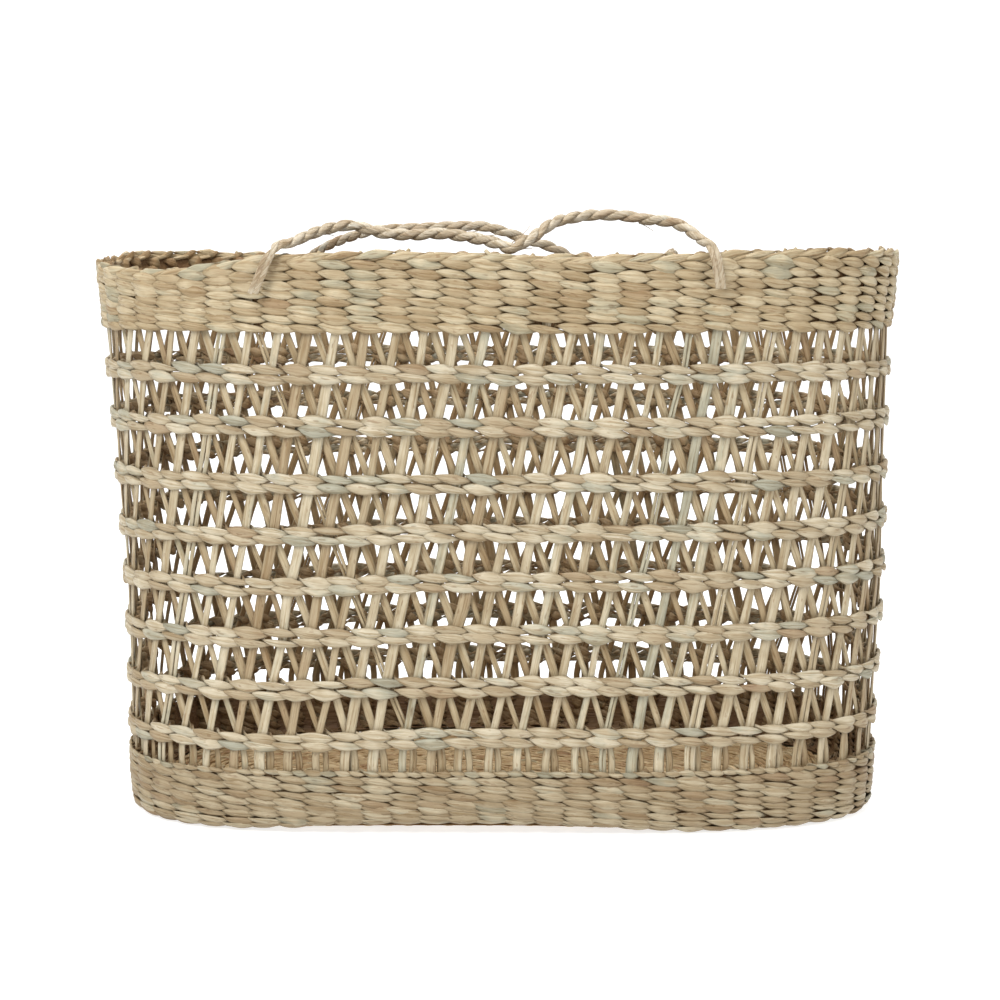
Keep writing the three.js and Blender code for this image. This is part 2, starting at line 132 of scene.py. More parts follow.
@dataclass(frozen=True)
class BasketWall:
    """The curved wall that every strand follows."""

    rim_length: float = 400.0
    rim_width: float = 200.0
    height: float = 271.0
    thickness: float = 6.1
    stake_count: int = 72
    open_bottom: float = 31.7
    open_top: float = 236.7
    row_shares: tuple[float, ...] = (0.902, 0.784, 0.660, 0.547, 0.435, 0.317, 0.196, 0.077)
    levels: tuple[WallLevel, ...] = (
        WallLevel(0.000, 0.920, 0.949, 0.930, 3.6),
        WallLevel(0.116, 0.922, 0.952, 0.935, 3.5),
        WallLevel(0.413, 0.930, 0.972, 0.943, 3.1),
        WallLevel(0.875, 0.973, 0.978, 0.970, 2.6),
        WallLevel(1.000, 0.986, 0.997, 1.000, 2.5),
    )
    waves: tuple[RimWave, ...] = (
        RimWave(-197.0, -2.4, -2.4),
        RimWave(-189.0, -0.4, 2.6),
        RimWave(-170.0, 0.0, 3.2),
        RimWave(-132.0, -2.0, 3.2),
        RimWave(-90.0, 0.0, 1.6),
        RimWave(-43.0, 0.8, 0.4),
        RimWave(7.0, 0.1, 0.0),
        RimWave(47.0, -1.2, 0.0),
        RimWave(85.0, -0.4, 0.6),
        RimWave(125.0, 1.4, 1.6),
        RimWave(163.0, 2.2, 2.2),
        RimWave(200.0, 2.2, 2.2),
    )
    sag_depth: float = 7.5
    sag_along: float = -0.84
    sag_across: float = -0.66
    sag_reach: float = 30.0
    back_drop: float = 1.6
    droops: tuple[Droop, ...] = (Droop(3.2, 0.10, 0.60), Droop(2.4, 0.75, 0.97))
    droop_full_below: float = 0.45
    droop_none_above: float = 0.70
    edge_height: float = 14.0
    edge_lift: float = 5.6
    lift_middle: float = -20.0
    lift_span: tuple[float, float] = (0.1, 0.62)

    def section(
        self, level: WallLevel, angle: np.ndarray, shrink: float = 0.0
    ) -> tuple[np.ndarray, np.ndarray]:
        """Points of one section and the level directions that leave it.

        Args:
            level: the section.
            angle: plan angles, anticlockwise from the right end.
            shrink: taken off the half sizes, for the rings of the floor.

        Returns:
            Points and outward directions, each an array of pairs.
        """
        half = np.where(np.cos(angle) < 0.0, level.left, level.right) * self.rim_length / 2 - shrink
        width = level.width * self.rim_width / 2 - shrink
        n = level.exponent
        reach = (np.abs(np.cos(angle)) ** n + np.abs(np.sin(angle)) ** n) ** (-1.0 / n)
        u, v = np.cos(angle) * reach, np.sin(angle) * reach
        away = np.stack([signed_power(u, n - 1) / half, signed_power(v, n - 1) / width], axis=-1)
        return np.stack([half * u, width * v], axis=-1), unit(away)

    @cached_property
    def turn_tables(self) -> tuple[np.ndarray, list[np.ndarray]]:
        """Plan angles, and for each section the turn at each: it grows with length within a quarter.

        Returns:
            The angles, and a table of turns for each section.
        """
        quarter = 900
        angles = np.linspace(0.0, 2.0 * math.pi, 4 * quarter + 1)
        tables = []
        for level in self.levels:
            points, _ = self.section(level, angles)
            run = np.append(0.0, np.cumsum(np.linalg.norm(np.diff(points, axis=0), axis=1)))
            corners = run[::quarter]
            tables.append(np.interp(run, corners, np.arange(5) * math.pi / 2))
        return angles, tables

    def face(self, turn: np.ndarray, z: np.ndarray) -> tuple[np.ndarray, np.ndarray]:
        """Points of the outer face and the level directions that leave it.

        Args:
            turn: how far round each point is, anticlockwise from the right end.
            z: heights, one for each turn.

        Returns:
            Points and outward directions, each an array of vectors.
        """
        share = np.clip(np.asarray(z, float) / self.height, 0.0, 1.0)
        heights = [level.height for level in self.levels]
        angles, tables = self.turn_tables
        points = np.zeros((len(turn), 3))
        away = np.zeros((len(turn), 3))
        for level, table, hat in zip(self.levels, tables, np.eye(len(heights))):
            weight = np.interp(share, heights, hat)[:, None]
            here, leaving = self.section(level, np.interp(turn, table, angles))
            points[:, :2] += weight * here
            away[:, :2] += weight * leaving
        points[:, 2] = z
        return points, unit(away)

    @cached_property
    def lengths(self) -> tuple[np.ndarray, np.ndarray]:
        """Turns and the length along the wall at mid height up to each.

        Returns:
            The turns and the lengths.
        """
        turns = np.linspace(0.0, 2.0 * math.pi, 7201)
        points, away = self.face(turns, np.full_like(turns, self.height / 2))
        points = points - away * self.thickness / 2
        steps = np.linalg.norm(np.diff(points, axis=0), axis=1)
        return turns, np.append(0.0, np.cumsum(steps))

    @property
    def girth(self) -> float:
        """Length round the wall at mid height."""
        return float(self.lengths[1][-1])

    @property
    def pitch(self) -> float:
        """Length of wall that each stake has."""
        return self.girth / self.stake_count

    @property
    def row_heights(self) -> list[float]:
        """Heights of the open rows, the top one first."""
        return [self.open_bottom + share * (self.open_top - self.open_bottom) for share in self.row_shares]

    def at(
        self, along: np.ndarray, z: np.ndarray, inset: np.ndarray | float
    ) -> tuple[np.ndarray, np.ndarray]:
        """Points of the wall at lengths along it, and the outward directions there.

        Args:
            along: lengths along the wall, to the right as seen from outside.
            z: heights.
            inset: distance in from the outer face.

        Returns:
            Points and outward directions.
        """
        turns, lengths = self.lengths
        points, away = self.face(np.interp(np.mod(along, self.girth), lengths, turns), z)
        return points - away * np.reshape(inset, (-1, 1)), away

    def rim_drop(self, points: np.ndarray) -> np.ndarray:
        """How far the top of the rim lies below its nominal height at each point.

        Args:
            points: points of the wall.

        Returns:
            The drop at each.
        """
        dx = points[:, 0] - self.sag_along * self.rim_length / 2
        dy = points[:, 1] - self.sag_across * self.rim_width / 2
        sag = self.sag_depth * np.exp(-(dx * dx + dy * dy) / (2.0 * self.sag_reach**2))
        places = [wave.x for wave in self.waves]
        front = np.interp(points[:, 0], places, [wave.front for wave in self.waves])
        back = np.interp(points[:, 0], places, [wave.back for wave in self.waves])
        behind = smooth_step(points[:, 1], -self.rim_width / 4, self.rim_width / 4)
        return sag - front * (1.0 - behind) - (back - self.back_drop) * behind

    def droop(self, points: np.ndarray) -> np.ndarray:
        """How far the open rows hang down at each point.

        Args:
            points: points of the wall.

        Returns:
            The droop at each.
        """
        share = -2.0 * points[:, 0] / self.rim_length
        level = points[:, 2] / self.height
        fade = 1.0 - smooth_step(level, self.droop_full_below, self.droop_none_above)
        depth = sum(bend.depth * smooth_step(share, bend.start, bend.end) for bend in self.droops)
        return depth * fade

    def lift(self, points: np.ndarray) -> np.ndarray:
        """How far the rounded edge of the base is raised at each point.

        Args:
            points: points of the wall.

        Returns:
            The lift at each.
        """
        share = np.abs(points[:, 0] - self.lift_middle) / (self.rim_length / 2)
        middle = 1.0 - smooth_step(share, *self.lift_span)
        return self.edge_lift * middle * np.clip(1.0 - points[:, 2] / self.edge_height, 0.0, 1.0)


class Settle(Enum):
    """How a row gives way to the hand-made shape of the basket."""

    OPEN_ROW = "open row"
    RIM = "rim"
    BASE = "base"


class StrandMesh:
    """Strands gathered into one mesh, each a tube with its own tone, its own grain and a painted shade.

    Attributes:
        RIDGES: ridges round a lobed strand.
        TIP: how far the point that closes an end stands out.
        THINNEST: half width below which the grain runs together no further.
        TURNED_IN: how far a face is turned in, from 0 to 1, when it counts as wholly inside and takes the
            full painted shade.
    """

    RIDGES = 3.0
    TIP = 0.2
    THINNEST = 0.2
    TURNED_IN = 0.8

    def __init__(self) -> None:
        """Starts with no strands."""
        self.points: list[np.ndarray] = []
        self.tones: list[np.ndarray] = []
        self.grains: list[np.ndarray] = []
        self.inside_shades: list[np.ndarray] = []
        self.quads: list[np.ndarray] = []
        self.tris: list[np.ndarray] = []
        self.count = 0

    def keep(self, points: np.ndarray, tones: np.ndarray, grains: np.ndarray, inside_shades: np.ndarray) -> int:
        """Stores vertices and returns the number of the first.

        Args:
            points: the vertices.
            tones: their tones.
            grains: their places in the straw.
            inside_shades: painted shade of each, for how far it faces into the basket.

        Returns:
            The number of the first vertex.
        """
        first = self.count
        self.inside_shades.append(inside_shades)
        self.points.append(points)
        self.tones.append(tones)
        self.grains.append(grains)
        self.count += len(points)
        return first

    def join(self, first: int, rings: int, places: int, closed: bool) -> None:
        """Joins rings of vertices with quads, each ring to the next.

        Args:
            first: number of the first vertex.
            rings: how many rings there are.
            places: vertices to a ring.
            closed: whether the last ring is joined to the first.
        """
        rows = np.arange(rings if closed else rings - 1)[:, None]
        cols = np.arange(places)[None, :]
        here, following, beside = rows * places, (rows + 1) % rings * places, (cols + 1) % places
        corners = [here + cols, here + beside, following + beside, following + cols]
        self.quads.append(first + np.stack(corners, axis=-1).reshape(-1, 4))

    def strand(
        self,
        centres: np.ndarray,
        side: np.ndarray,
        half_width: np.ndarray | float,
        half_thick: np.ndarray | float,
        tone: np.ndarray | float,
        start: float,
        sides: int = 7,
        closed: bool = False,
        full: float = 0.0,
        lobes: float = 0.0,
        lobe_turn: float = 0.0,
        away: np.ndarray | None = None,
        hidden: np.ndarray | float = 0.0,
    ) -> None:
        """Adds one strand.

        Args:
            centres: points along its middle.
            side: direction of its width at each point, made square to the strand.
            half_width: half its width.
            half_thick: half its thickness.
            tone: 0 to 1, which colour of straw it has.
            start: where its grain starts, which makes its streaks its own.
            sides: corners of its section.
            closed: whether it meets its own start.
            full: half width at which the grain has its own spacing; the grain runs together
                where the strand is narrower.
            lobes: depth of the ridges, as a share of the section.
            lobe_turn: radians that the ridges turn for each millimetre.
            away: the way out of the basket at each point, if the strand is in its wall; faces turned in get
                painted shade.
            hidden: 1 where the strand lies inside the basket, -1 where it lies outside, which raises or
                lowers its painted shade.
        """
        n = len(centres)
        ahead = np.roll(centres, -1, axis=0) - np.roll(centres, 1, axis=0)
        if not closed:
            ahead[0] = centres[1] - centres[0]
            ahead[-1] = centres[-1] - centres[-2]
        ahead = unit(ahead)
        side = np.broadcast_to(side, centres.shape)
        side = unit(side - ahead * np.sum(side * ahead, axis=1, keepdims=True))
        out = np.cross(ahead, side)
        steps = np.linalg.norm(np.diff(centres, axis=0), axis=1)
        run = np.append(0.0, np.cumsum(steps))
        turn = 2.0 * math.pi * np.arange(sides) / sides
        wide = np.broadcast_to(half_width, (n,))[:, None]
        thick = np.broadcast_to(half_thick, (n,))[:, None]
        ridge = 1.0 + lobes * np.cos(self.RIDGES * (turn[None, :] - lobe_turn * run[:, None]))
        across = np.cos(turn)[None, :] * wide * ridge
        through = np.sin(turn)[None, :] * thick * ridge
        points = centres[:, None, :] + side[:, None, :] * across[:, :, None]
        points = points + out[:, None, :] * through[:, :, None]
        spin = -self.RIDGES * lobe_turn * run[:, None] if lobes else np.zeros((n, 1))
        even = full / np.maximum(wide, self.THINNEST) if full else np.ones_like(wide)
        grain_a = (across * np.cos(spin) - through * np.sin(spin)) * even
        grain_b = across * np.sin(spin) + through * np.cos(spin)
        length = np.broadcast_to(run[:, None] + start, across.shape)
        grains = np.stack([length, grain_a, grain_b], axis=-1)
        tones = np.repeat(np.broadcast_to(tone, (n,)), sides)
        # Painted shade: faces turned into the basket, and parts marked hidden, are tinted darker in the
        # finish.
        if away is None:
            inward = np.full(across.shape, -1.0)
        else:
            facing = side[:, None, :] * np.cos(turn)[None, :, None]
            facing = facing + out[:, None, :] * np.sin(turn)[None, :, None]
            inward = -np.sum(facing * np.broadcast_to(away, centres.shape)[:, None, :], axis=2)
        inward = inward + np.reshape(np.broadcast_to(hidden, (n,)), (n, 1))
        inside_shades = smooth_step(inward, 0.0, self.TURNED_IN).reshape(-1)
        first = self.keep(points.reshape(-1, 3), tones, grains.reshape(-1, 3), inside_shades)
        self.join(first, n, sides, closed)
        if not closed:
            last = first + (n - 1) * sides
            start_tip, end_tip = centres[0] - ahead[0] * self.TIP, centres[-1] + ahead[-1] * self.TIP
            self.cap(first, sides, start_tip, True, tones[0], grains[0, 0], inside_shades[0])
            self.cap(last, sides, end_tip, False, tones[-1], grains[-1, 0], inside_shades[-1])

    def cap(
        self,
        ring: int,
        sides: int,
        tip: np.ndarray,
        at_start: bool,
        tone: float,
        grain: np.ndarray,
        inside: float,
    ) -> None:
        """Closes a strand's end with a low point.

        Args:
            ring: number of the end ring's first vertex.
            sides: corners of the section.
            tip: the point.
            at_start: whether this is the strand's start.
            tone: tone of the point.
            grain: grain place of the point.
            inside: painted shade of the point, for how much it faces into the basket.
        """
        middle = np.array([[grain[0], 0.0, 0.0]])
        top = self.keep(tip.reshape(1, 3), np.array([tone]), middle, np.array([inside]))
        here = ring + np.arange(sides)
        following = ring + (np.arange(sides) + 1) % sides
        pair = [following, here] if at_start else [here, following]
        self.tris.append(np.stack([*pair, np.full(sides, top)], axis=-1))

    def plate(self, loops: np.ndarray, tone: float) -> None:
        """Adds a closed skin from rings of points, each joined to the next and the last to the first, all in
        full painted shade.

        Args:
            loops: points by ring and by place along the ring.
            tone: tone of the whole skin.
        """
        rings, places = loops.shape[:2]
        flat = loops.reshape(-1, 3)
        # The whole skin is marked as inside: painted shade.
        first = self.keep(flat, np.full(len(flat), tone), flat, np.ones(len(flat)))
        self.join(first, rings, places, closed=True)

    def build(self, name: str) -> bpy.types.Object:
        """Makes the object, in metres, smooth shaded.

        Args:
            name: the piece's name.

        Returns:
            The object, linked to the scene.
        """
        quads = np.concatenate(self.quads)
        tris = np.concatenate(self.tris) if self.tris else np.zeros((0, 3), int)
        corners = np.concatenate([quads.ravel(), tris.ravel()]).astype(np.int32)
        starts = np.concatenate([np.arange(len(quads)) * 4, quads.size + np.arange(len(tris)) * 3])
        mesh = bpy.data.meshes.new(name)
        mesh.vertices.add(self.count)
        mesh.loops.add(len(corners))
        mesh.polygons.add(len(starts))
        mesh.vertices.foreach_set("co", (np.concatenate(self.points) * MM).astype(np.float32).ravel())
        mesh.loops.foreach_set("vertex_index", corners)
        mesh.polygons.foreach_set("loop_start", starts.astype(np.int32))
        mesh.polygons.foreach_set("use_smooth", np.ones(len(starts), bool))
        # The inside attribute carries painted shade, which the finish tints darker brown.
        for title, kind, key, values in (
            ("tone", "FLOAT", "value", self.tones),
            ("inside", "FLOAT", "value", self.inside_shades),
            ("grain", "FLOAT_VECTOR", "vector", self.grains),
        ):
            attribute = mesh.attributes.new(title, kind, "POINT")
            attribute.data.foreach_set(key, np.concatenate(values).astype(np.float32).ravel())
        mesh.update(calc_edges=True)
        mesh.validate()
        piece = bpy.data.objects.new(name, mesh)
        bpy.context.scene.collection.objects.link(piece)
        LOG.info("%s: %d triangles", name, len(starts) + len(quads))
        return piece


class Value:
    """A shader socket that Python's own operators work on."""

    def __init__(self, shader: "Shader", socket: bpy.types.NodeSocket) -> None:
        """Wraps a socket of a shader."""
        self.shader = shader
        self.socket = socket

    def _math(self, operation: str, first: "Value | float", second: "Value | float") -> "Value":
        """Adds one Math node and returns its result."""
        made = self.shader.node("ShaderNodeMath", {"operation": operation}, {0: first, 1: second})
        return Value(self.shader, made.outputs[0])

    def __add__(self, other: "Value | float") -> "Value":
        """Sum."""
        return self._math("ADD", self, other)

    def __radd__(self, other: float) -> "Value":
        """Sum, with the number first."""
        return self._math("ADD", other, self)

    def __sub__(self, other: "Value | float") -> "Value":
        """Difference."""
        return self._math("SUBTRACT", self, other)

    def __rsub__(self, other: float) -> "Value":
        """Difference, from a number."""
        return self._math("SUBTRACT", other, self)

    def __mul__(self, other: "Value | float") -> "Value":
        """Product."""
        return self._math("MULTIPLY", self, other)

    def __rmul__(self, other: float) -> "Value":
        """Product, with the number first."""
        return self._math("MULTIPLY", other, self)

    def above(self, low: float, high: float) -> "Value":
        """Rises from 0 at low to 1 at high.

        Args:
            low: where the rise starts.
            high: where it ends.

        Returns:
            The new value.
        """
        settings = {"interpolation_type": "SMOOTHSTEP"}
        inputs = {"Value": self, "From Min": low, "From Max": high}
        made = self.shader.node("ShaderNodeMapRange", settings, inputs)
        return Value(self.shader, made.outputs["Result"])


class Shader:
    """The node tree of one finish."""

    def __init__(self, name: str) -> None:
        """Starts a material with its surface shader.

        Args:
            name: the material's name.
        """
        self.material = bpy.data.materials.new(name)
        self.material.use_nodes = True
        self.tree = self.material.node_tree
        self.surface = self.tree.nodes["Principled BSDF"]

    def node(self, kind: str, settings: dict, inputs: dict) -> bpy.types.Node:
        """Adds a node.

        Args:
            kind: the node's type.
            settings: properties, and stops for a ramp, set before anything is linked.
            inputs: numbers, colours, sockets or values, by the socket's name or number.

        Returns:
            The node.
        """
        made = self.tree.nodes.new(kind)
        for name, setting in settings.items():
            if name == "stops":
                self.set_stops(made.color_ramp, setting)
            else:
                setattr(made, name, setting)
        for name, value in inputs.items():
            self.feed(made.inputs[name], value)
        return made

    @staticmethod
    def set_stops(ramp: bpy.types.ColorRamp, stops: Sequence[tuple[float, Colour]]) -> None:
        """Gives a ramp its stops.

        Args:
            ramp: the ramp.
            stops: its places and colours.
        """
        while len(ramp.elements) < len(stops):
            ramp.elements.new(1.0)
        for element, (place, colour) in zip(ramp.elements, stops):
            element.position = place
            element.color = (*colour, 1.0)

    def feed(self, socket: bpy.types.NodeSocket, value: object) -> None:
        """Links or sets one input.

        Args:
            socket: the input.
            value: a value, a socket or a plain setting.
        """
        if isinstance(value, Value):
            self.tree.links.new(value.socket, socket)
        elif isinstance(value, bpy.types.NodeSocket):
            self.tree.links.new(value, socket)
        else:
            socket.default_value = value

    def dress(self, **inputs: object) -> None:
        """Feeds the surface shader, with underscores for the spaces in its sockets' names."""
        for name, value in inputs.items():
            self.feed(self.surface.inputs[name.replace("_", " ")], value)

    def attribute(self, name: str) -> bpy.types.Node:
        """Reads an attribute that the strands' meshes carry."""
        return self.node("ShaderNodeAttribute", {"attribute_name": name}, {})

    def noise(self, place: bpy.types.NodeSocket, stretch: Colour, detail: float) -> Value:
        """Noise along a strand's grain, 0 to 1, with the scales of the grain's three directions.

        Args:
            place: places in the straw.
            stretch: scales of the grain's three directions.
            detail: how fine the noise is.

        Returns:
            The noise.
        """
        scaled = self.node("ShaderNodeVectorMath", {"operation": "MULTIPLY"}, {0: place, 1: stretch})
        inputs = {"Vector": scaled.outputs[0], "Scale": 1.0, "Detail": detail}
        made = self.node("ShaderNodeTexNoise", {}, inputs)
        return Value(self, made.outputs["Fac"])

    def tint(self, colour: bpy.types.NodeSocket, by: Colour) -> bpy.types.NodeSocket:
        """A colour multiplied by another."""
        return self.node("ShaderNodeVectorMath", {"operation": "MULTIPLY"}, {0: colour, 1: by}).outputs[0]

    def mix(self, share: Value, first: object, second: object) -> bpy.types.NodeSocket:
        """Two colours mixed by a share."""
        made = self.node("ShaderNodeMix", {"data_type": "RGBA"}, {0: share, 6: first, 7: second})
        return made.outputs[2]


STRAW_STOPS = (
    (0.00, (0.300, 0.195, 0.105)),
    (0.12, (0.345, 0.240, 0.130)),
    (0.30, (0.385, 0.290, 0.165)),
    (0.50, (0.425, 0.338, 0.204)),
    (0.72, (0.560, 0.475, 0.318)),
    (0.86, (0.430, 0.388, 0.266)),
    (1.00, (0.345, 0.320, 0.222)),
)


@dataclass(frozen=True)
class StrawFinish:
    """Dried straw: long streaks, slow blotches, small brown flecks, a soft sheen and painted shade on faces
    marked as inside.

    Scales are to the millimetre, along the straw, across it and through it. A span holds the noise
    at which a mark starts and is full, and shares are those of the broad and the fine streaks.
    """

    name: str
    slot: str
    stops: tuple[tuple[float, Colour], ...] = STRAW_STOPS
    wash: Colour = (1.0, 1.0, 1.0)
    # Tint of the painted shade on faces marked as inside.
    inner_shade_tint: Colour = (0.60, 0.48, 0.35)
    streak: float = 0.95
    streak_tint: Colour = (0.60, 0.51, 0.38)
    streak_shares: tuple[float, float] = (0.6, 0.4)
    broad_scale: Colour = (0.035, 0.85, 0.85)
    broad_span: tuple[float, float] = (0.44, 0.66)
    fine_scale: Colour = (0.07, 2.6, 2.6)
    fine_span: tuple[float, float] = (0.46, 0.70)
    blotch: float = 0.62
    blotch_scale: Colour = (0.11, 0.22, 0.22)
    fleck: float = 0.5
    fleck_scale: Colour = (0.22, 0.75, 0.75)
    fleck_span: tuple[float, float] = (0.63, 0.73)
    fleck_tint: Colour = (0.42, 0.27, 0.15)
    roughness: float = 0.50
    streak_roughness: float = 0.25
    sheen: float = 0.35
    relief: float = 0.34
    relief_shares: tuple[float, float] = (0.7, 0.3)
    relief_reach: float = 4.0
    relief_strength: float = 0.8

    def make(self) -> bpy.types.Material:
        """Makes the material.

        Returns:
            The material, which reads each mesh's tone and grain.
        """
        shader = Shader(self.name)
        tone = Value(shader, shader.attribute("tone").outputs["Fac"])
        inside = Value(shader, shader.attribute("inside").outputs["Fac"])
        place = shader.attribute("grain").outputs["Vector"]
        blotch = shader.noise(place, self.blotch_scale, detail=2.0)
        broad = shader.noise(place, self.broad_scale, detail=2.0)
        fine = shader.noise(place, self.fine_scale, detail=2.0)
        spots = shader.noise(place, self.fleck_scale, detail=1.0)
        blotched = tone + (blotch - 0.5) * self.blotch
        ramp = shader.node("ShaderNodeValToRGB", {"stops": self.stops}, {"Fac": blotched})
        outer = shader.tint(ramp.outputs["Color"], self.wash)
        # Painted shade: faces marked as inside are tinted darker brown.
        base = shader.mix(inside, outer, shader.tint(outer, self.inner_shade_tint))
        broad_share, fine_share = self.streak_shares
        lines = broad.above(*self.broad_span) * broad_share + fine.above(*self.fine_span) * fine_share
        streaked = shader.mix(lines * self.streak, base, shader.tint(base, self.streak_tint))
        marks = spots.above(*self.fleck_span) * self.fleck
        colour = shader.mix(marks, streaked, shader.tint(base, self.fleck_tint))
        broad_share, fine_share = self.relief_shares
        height = broad * broad_share + fine * fine_share
        depth = self.relief * self.relief_reach * MM
        relief = {"Height": height, "Distance": depth, "Strength": self.relief_strength}
        bump = shader.node("ShaderNodeBump", {}, relief)
        shader.dress(
            Base_Color=colour,
            Roughness=self.roughness + lines * self.streak_roughness,
            Normal=bump.outputs["Normal"],
            Specular_IOR_Level=self.sheen,
        )
        return shader.material


@dataclass(frozen=True)
class RowStyle:
    """How the two strands of a twined row are laid.

    Attributes:
        half_height: half the height of a float.
        reach: how far the floats' middles stand out and in from the row's middle.
        swing: how far a strand moves up and down as it crosses.
        overlap: how far a float's start stands out and its end lies back.
        wobble: how uneven the row is.
        per_pitch: stations to a pitch.
        doubled: floats to each pitch.
    """

    half_height: float
    reach: float
    swing: float = 1.4
    overlap: float = 0.75
    half_thick: float = 0.95
    tone: float = 0.62
    wobble: float = 0.42
    per_pitch: int = 9
    sides: int = 8
    doubled: int = 1


@dataclass(frozen=True)
class Handwork:
    """How floats are shaped and how they vary, as they are worked by hand.

    Places are in pitches, and spreads and waves are standard deviations. A taper is a power: the
    higher it is, the later a float narrows towards that end. The tip shades say how much painted shade
    a float gets where it comes out from under its neighbour and where it goes under the next one.
    """

    half_float: float = 0.70
    start_taper: float = 1.95
    end_taper: float = 1.4
    roundness: float = 0.50
    fall_power: float = 1.1
    hidden_power: float = 0.8
    tip_width: float = 0.20
    tip_thick: float = 0.45
    bold: float = 1.08
    slight: float = 0.90
    width_spread: float = 0.13
    place_spread: float = 0.065
    row_shift: float = 0.07
    waves: int = 24
    wave_share: float = 0.7
    out_share: float = 0.5
    rise_share: float = 0.6
    tone_spread: float = 0.17
    least_tone: float = 0.10
    # Painted shade at the float tips.
    start_tip_shade: float = 1.5
    end_tip_shade: float = 2.6
    tip_shade_reach: tuple[float, float] = (0.05, 0.7)
    hidden_shade: float = 1.3


@dataclass
class WovenPiece:
    """What every woven piece of the basket has."""

    name: str
    replaced: tuple[str, ...]
    finish: StrawFinish
    wall: BasketWall
    rng: np.random.Generator
    hand: Handwork = field(default=Handwork(), kw_only=True)

    def grain_start(self) -> float:
        """A random place for a strand's grain to start."""
        return self.rng.uniform(0, GRAIN_REACH)

    def twined_row(
        self,
        mesh: StrandMesh,
        height: float,
        inset: float,
        phase: float,
        settle: Settle,
        style: RowStyle,
        tilt: float = 0.0,
    ) -> None:
        """Adds one row of two strands that cross between every two stakes.

        Args:
            mesh: where the strands go.
            height: height of the row's middle.
            inset: distance of the row's middle from the outer face.
            phase: shift of the floats along the wall, in pitches.
            settle: how the row gives way.
            style: how its strands are laid.
            tilt: degrees that the row's outside is turned to face down.
        """
        hand, wall, wobble = self.hand, self.wall, style.wobble
        count = wall.stake_count * style.doubled
        where = np.arange(count * style.per_pitch) / style.per_pitch
        waves = self.rng.normal(0.0, hand.wave_share * wobble, hand.waves)
        slow = np.interp(where, np.linspace(0, count, hand.waves + 1), np.append(waves, waves[0]))
        phase = phase + float(self.rng.uniform(-hand.row_shift, hand.row_shift))
        lean = math.radians(tilt)
        bolder = int(self.rng.integers(2))
        for strand in range(2):
            size = hand.bold if strand == bolder else hand.slight
            nudge = held_values(self.rng, count, hand.place_spread, where)
            place = np.mod(where + strand + nudge + 1.0, 2.0) - 1.0
            outward, bulk, fall, ahead = self.float_shape(place)
            along = ((where + 0.5) / style.doubled + phase) * wall.pitch
            base, away = wall.at(along, np.full_like(where, height), inset)
            up = np.zeros_like(away)
            up[:, 2] = math.cos(lean)
            up += away * math.sin(lean)
            out = away * math.cos(lean)
            out[:, 2] -= math.sin(lean)
            uneven_out = held_values(self.rng, count, hand.out_share * wobble, where)
            radial = style.reach * outward - style.overlap * ahead + uneven_out
            rise = slow - style.swing * fall + held_values(self.rng, count, wobble * hand.rise_share, where)
            centres = base + out * radial[:, None] + up * rise[:, None]
            centres[:, 2] += self.give(base, settle)
            width = hand.tip_width + (style.half_height * size - hand.tip_width) * bulk
            width = width * (1.0 + held_values(self.rng, count, hand.width_spread, where))
            thick = style.half_thick * (hand.tip_thick + (1.0 - hand.tip_thick) * bulk)
            # Painted shade on float tips that come out from under or go under a neighbour, and on the parts
            # behind the stakes.
            tip_shade = np.where(place > 0.0, hand.end_tip_shade, hand.start_tip_shade) * (outward > 0.0)
            tip_shade = tip_shade * (1.0 - smooth_step(bulk, *hand.tip_shade_reach))
            tones = self.float_tones(where, count, strand, style.tone)
            mesh.strand(
                centres, up, width, thick, tones, self.grain_start(), style.sides, closed=True,
                full=style.half_height, away=away, hidden=tip_shade - hand.hidden_shade * outward,
            )

    def float_tones(self, where: np.ndarray, count: int, strand: int, tone: float) -> np.ndarray:
        """Tones of one strand of a row, one tone for each float.

        Args:
            where: places along the row, in floats.
            count: number of floats round the row.
            strand: 0 or 1, which strand of the row it is.
            tone: mean tone.

        Returns:
            The tone at each place.
        """
        kinds = count // 2 + 1
        picks = np.floor((where + strand + 1.0) / 2.0).astype(int) % kinds
        tones = np.clip(self.rng.normal(tone, self.hand.tone_spread, kinds), self.hand.least_tone, 1.0)
        if strand == 0:
            tones[-1] = tones[0]
        return tones[picks]

    def float_shape(self, place: np.ndarray) -> tuple[np.ndarray, np.ndarray, np.ndarray, np.ndarray]:
        """The course of one strand past a stake.

        Args:
            place: where it is, in pitches from the middle of its outer float, from -1 to 1.

        Returns:
            How far out it stands, from 1 to -1, its breadth as a share, how far it has moved down
            across the row, from -1 to 1, and how far it is along its float, from -1 to 1.
        """
        hand = self.hand
        across = np.clip(np.abs(place) / hand.half_float, 0.0, 1.0)
        behind = np.clip((np.abs(place) - hand.half_float) / (1.0 - hand.half_float), 0.0, 1.0)
        outer = np.abs(place) < hand.half_float
        lens = 1.0 - across ** np.where(place > 0.0, hand.end_taper, hand.start_taper)
        inner = np.sin(0.5 * math.pi * behind) ** hand.hidden_power
        turned = np.cos(0.5 * math.pi * behind)
        outward = np.where(outer, lens**hand.roundness, -inner)
        bulk = np.where(outer, lens, inner)
        fall = np.sign(place) * np.where(outer, across**hand.fall_power, turned)
        return outward, bulk, fall, np.sign(place) * np.where(outer, across, turned)

    def give(self, points: np.ndarray, settle: Settle) -> np.ndarray:
        """How far strands at these points move up with the basket's uneven shape.

        Args:
            points: points of the wall.
            settle: how their row gives way.

        Returns:
            The rise at each.
        """
        wall = self.wall
        if settle is Settle.OPEN_ROW:
            return -wall.droop(points)
        if settle is Settle.RIM:
            roof = wall.open_top + RIM_STILL
            return -wall.rim_drop(points) * np.clip((points[:, 2] - roof) / (wall.height - roof), 0.0, 1.0)
        return wall.lift(points)

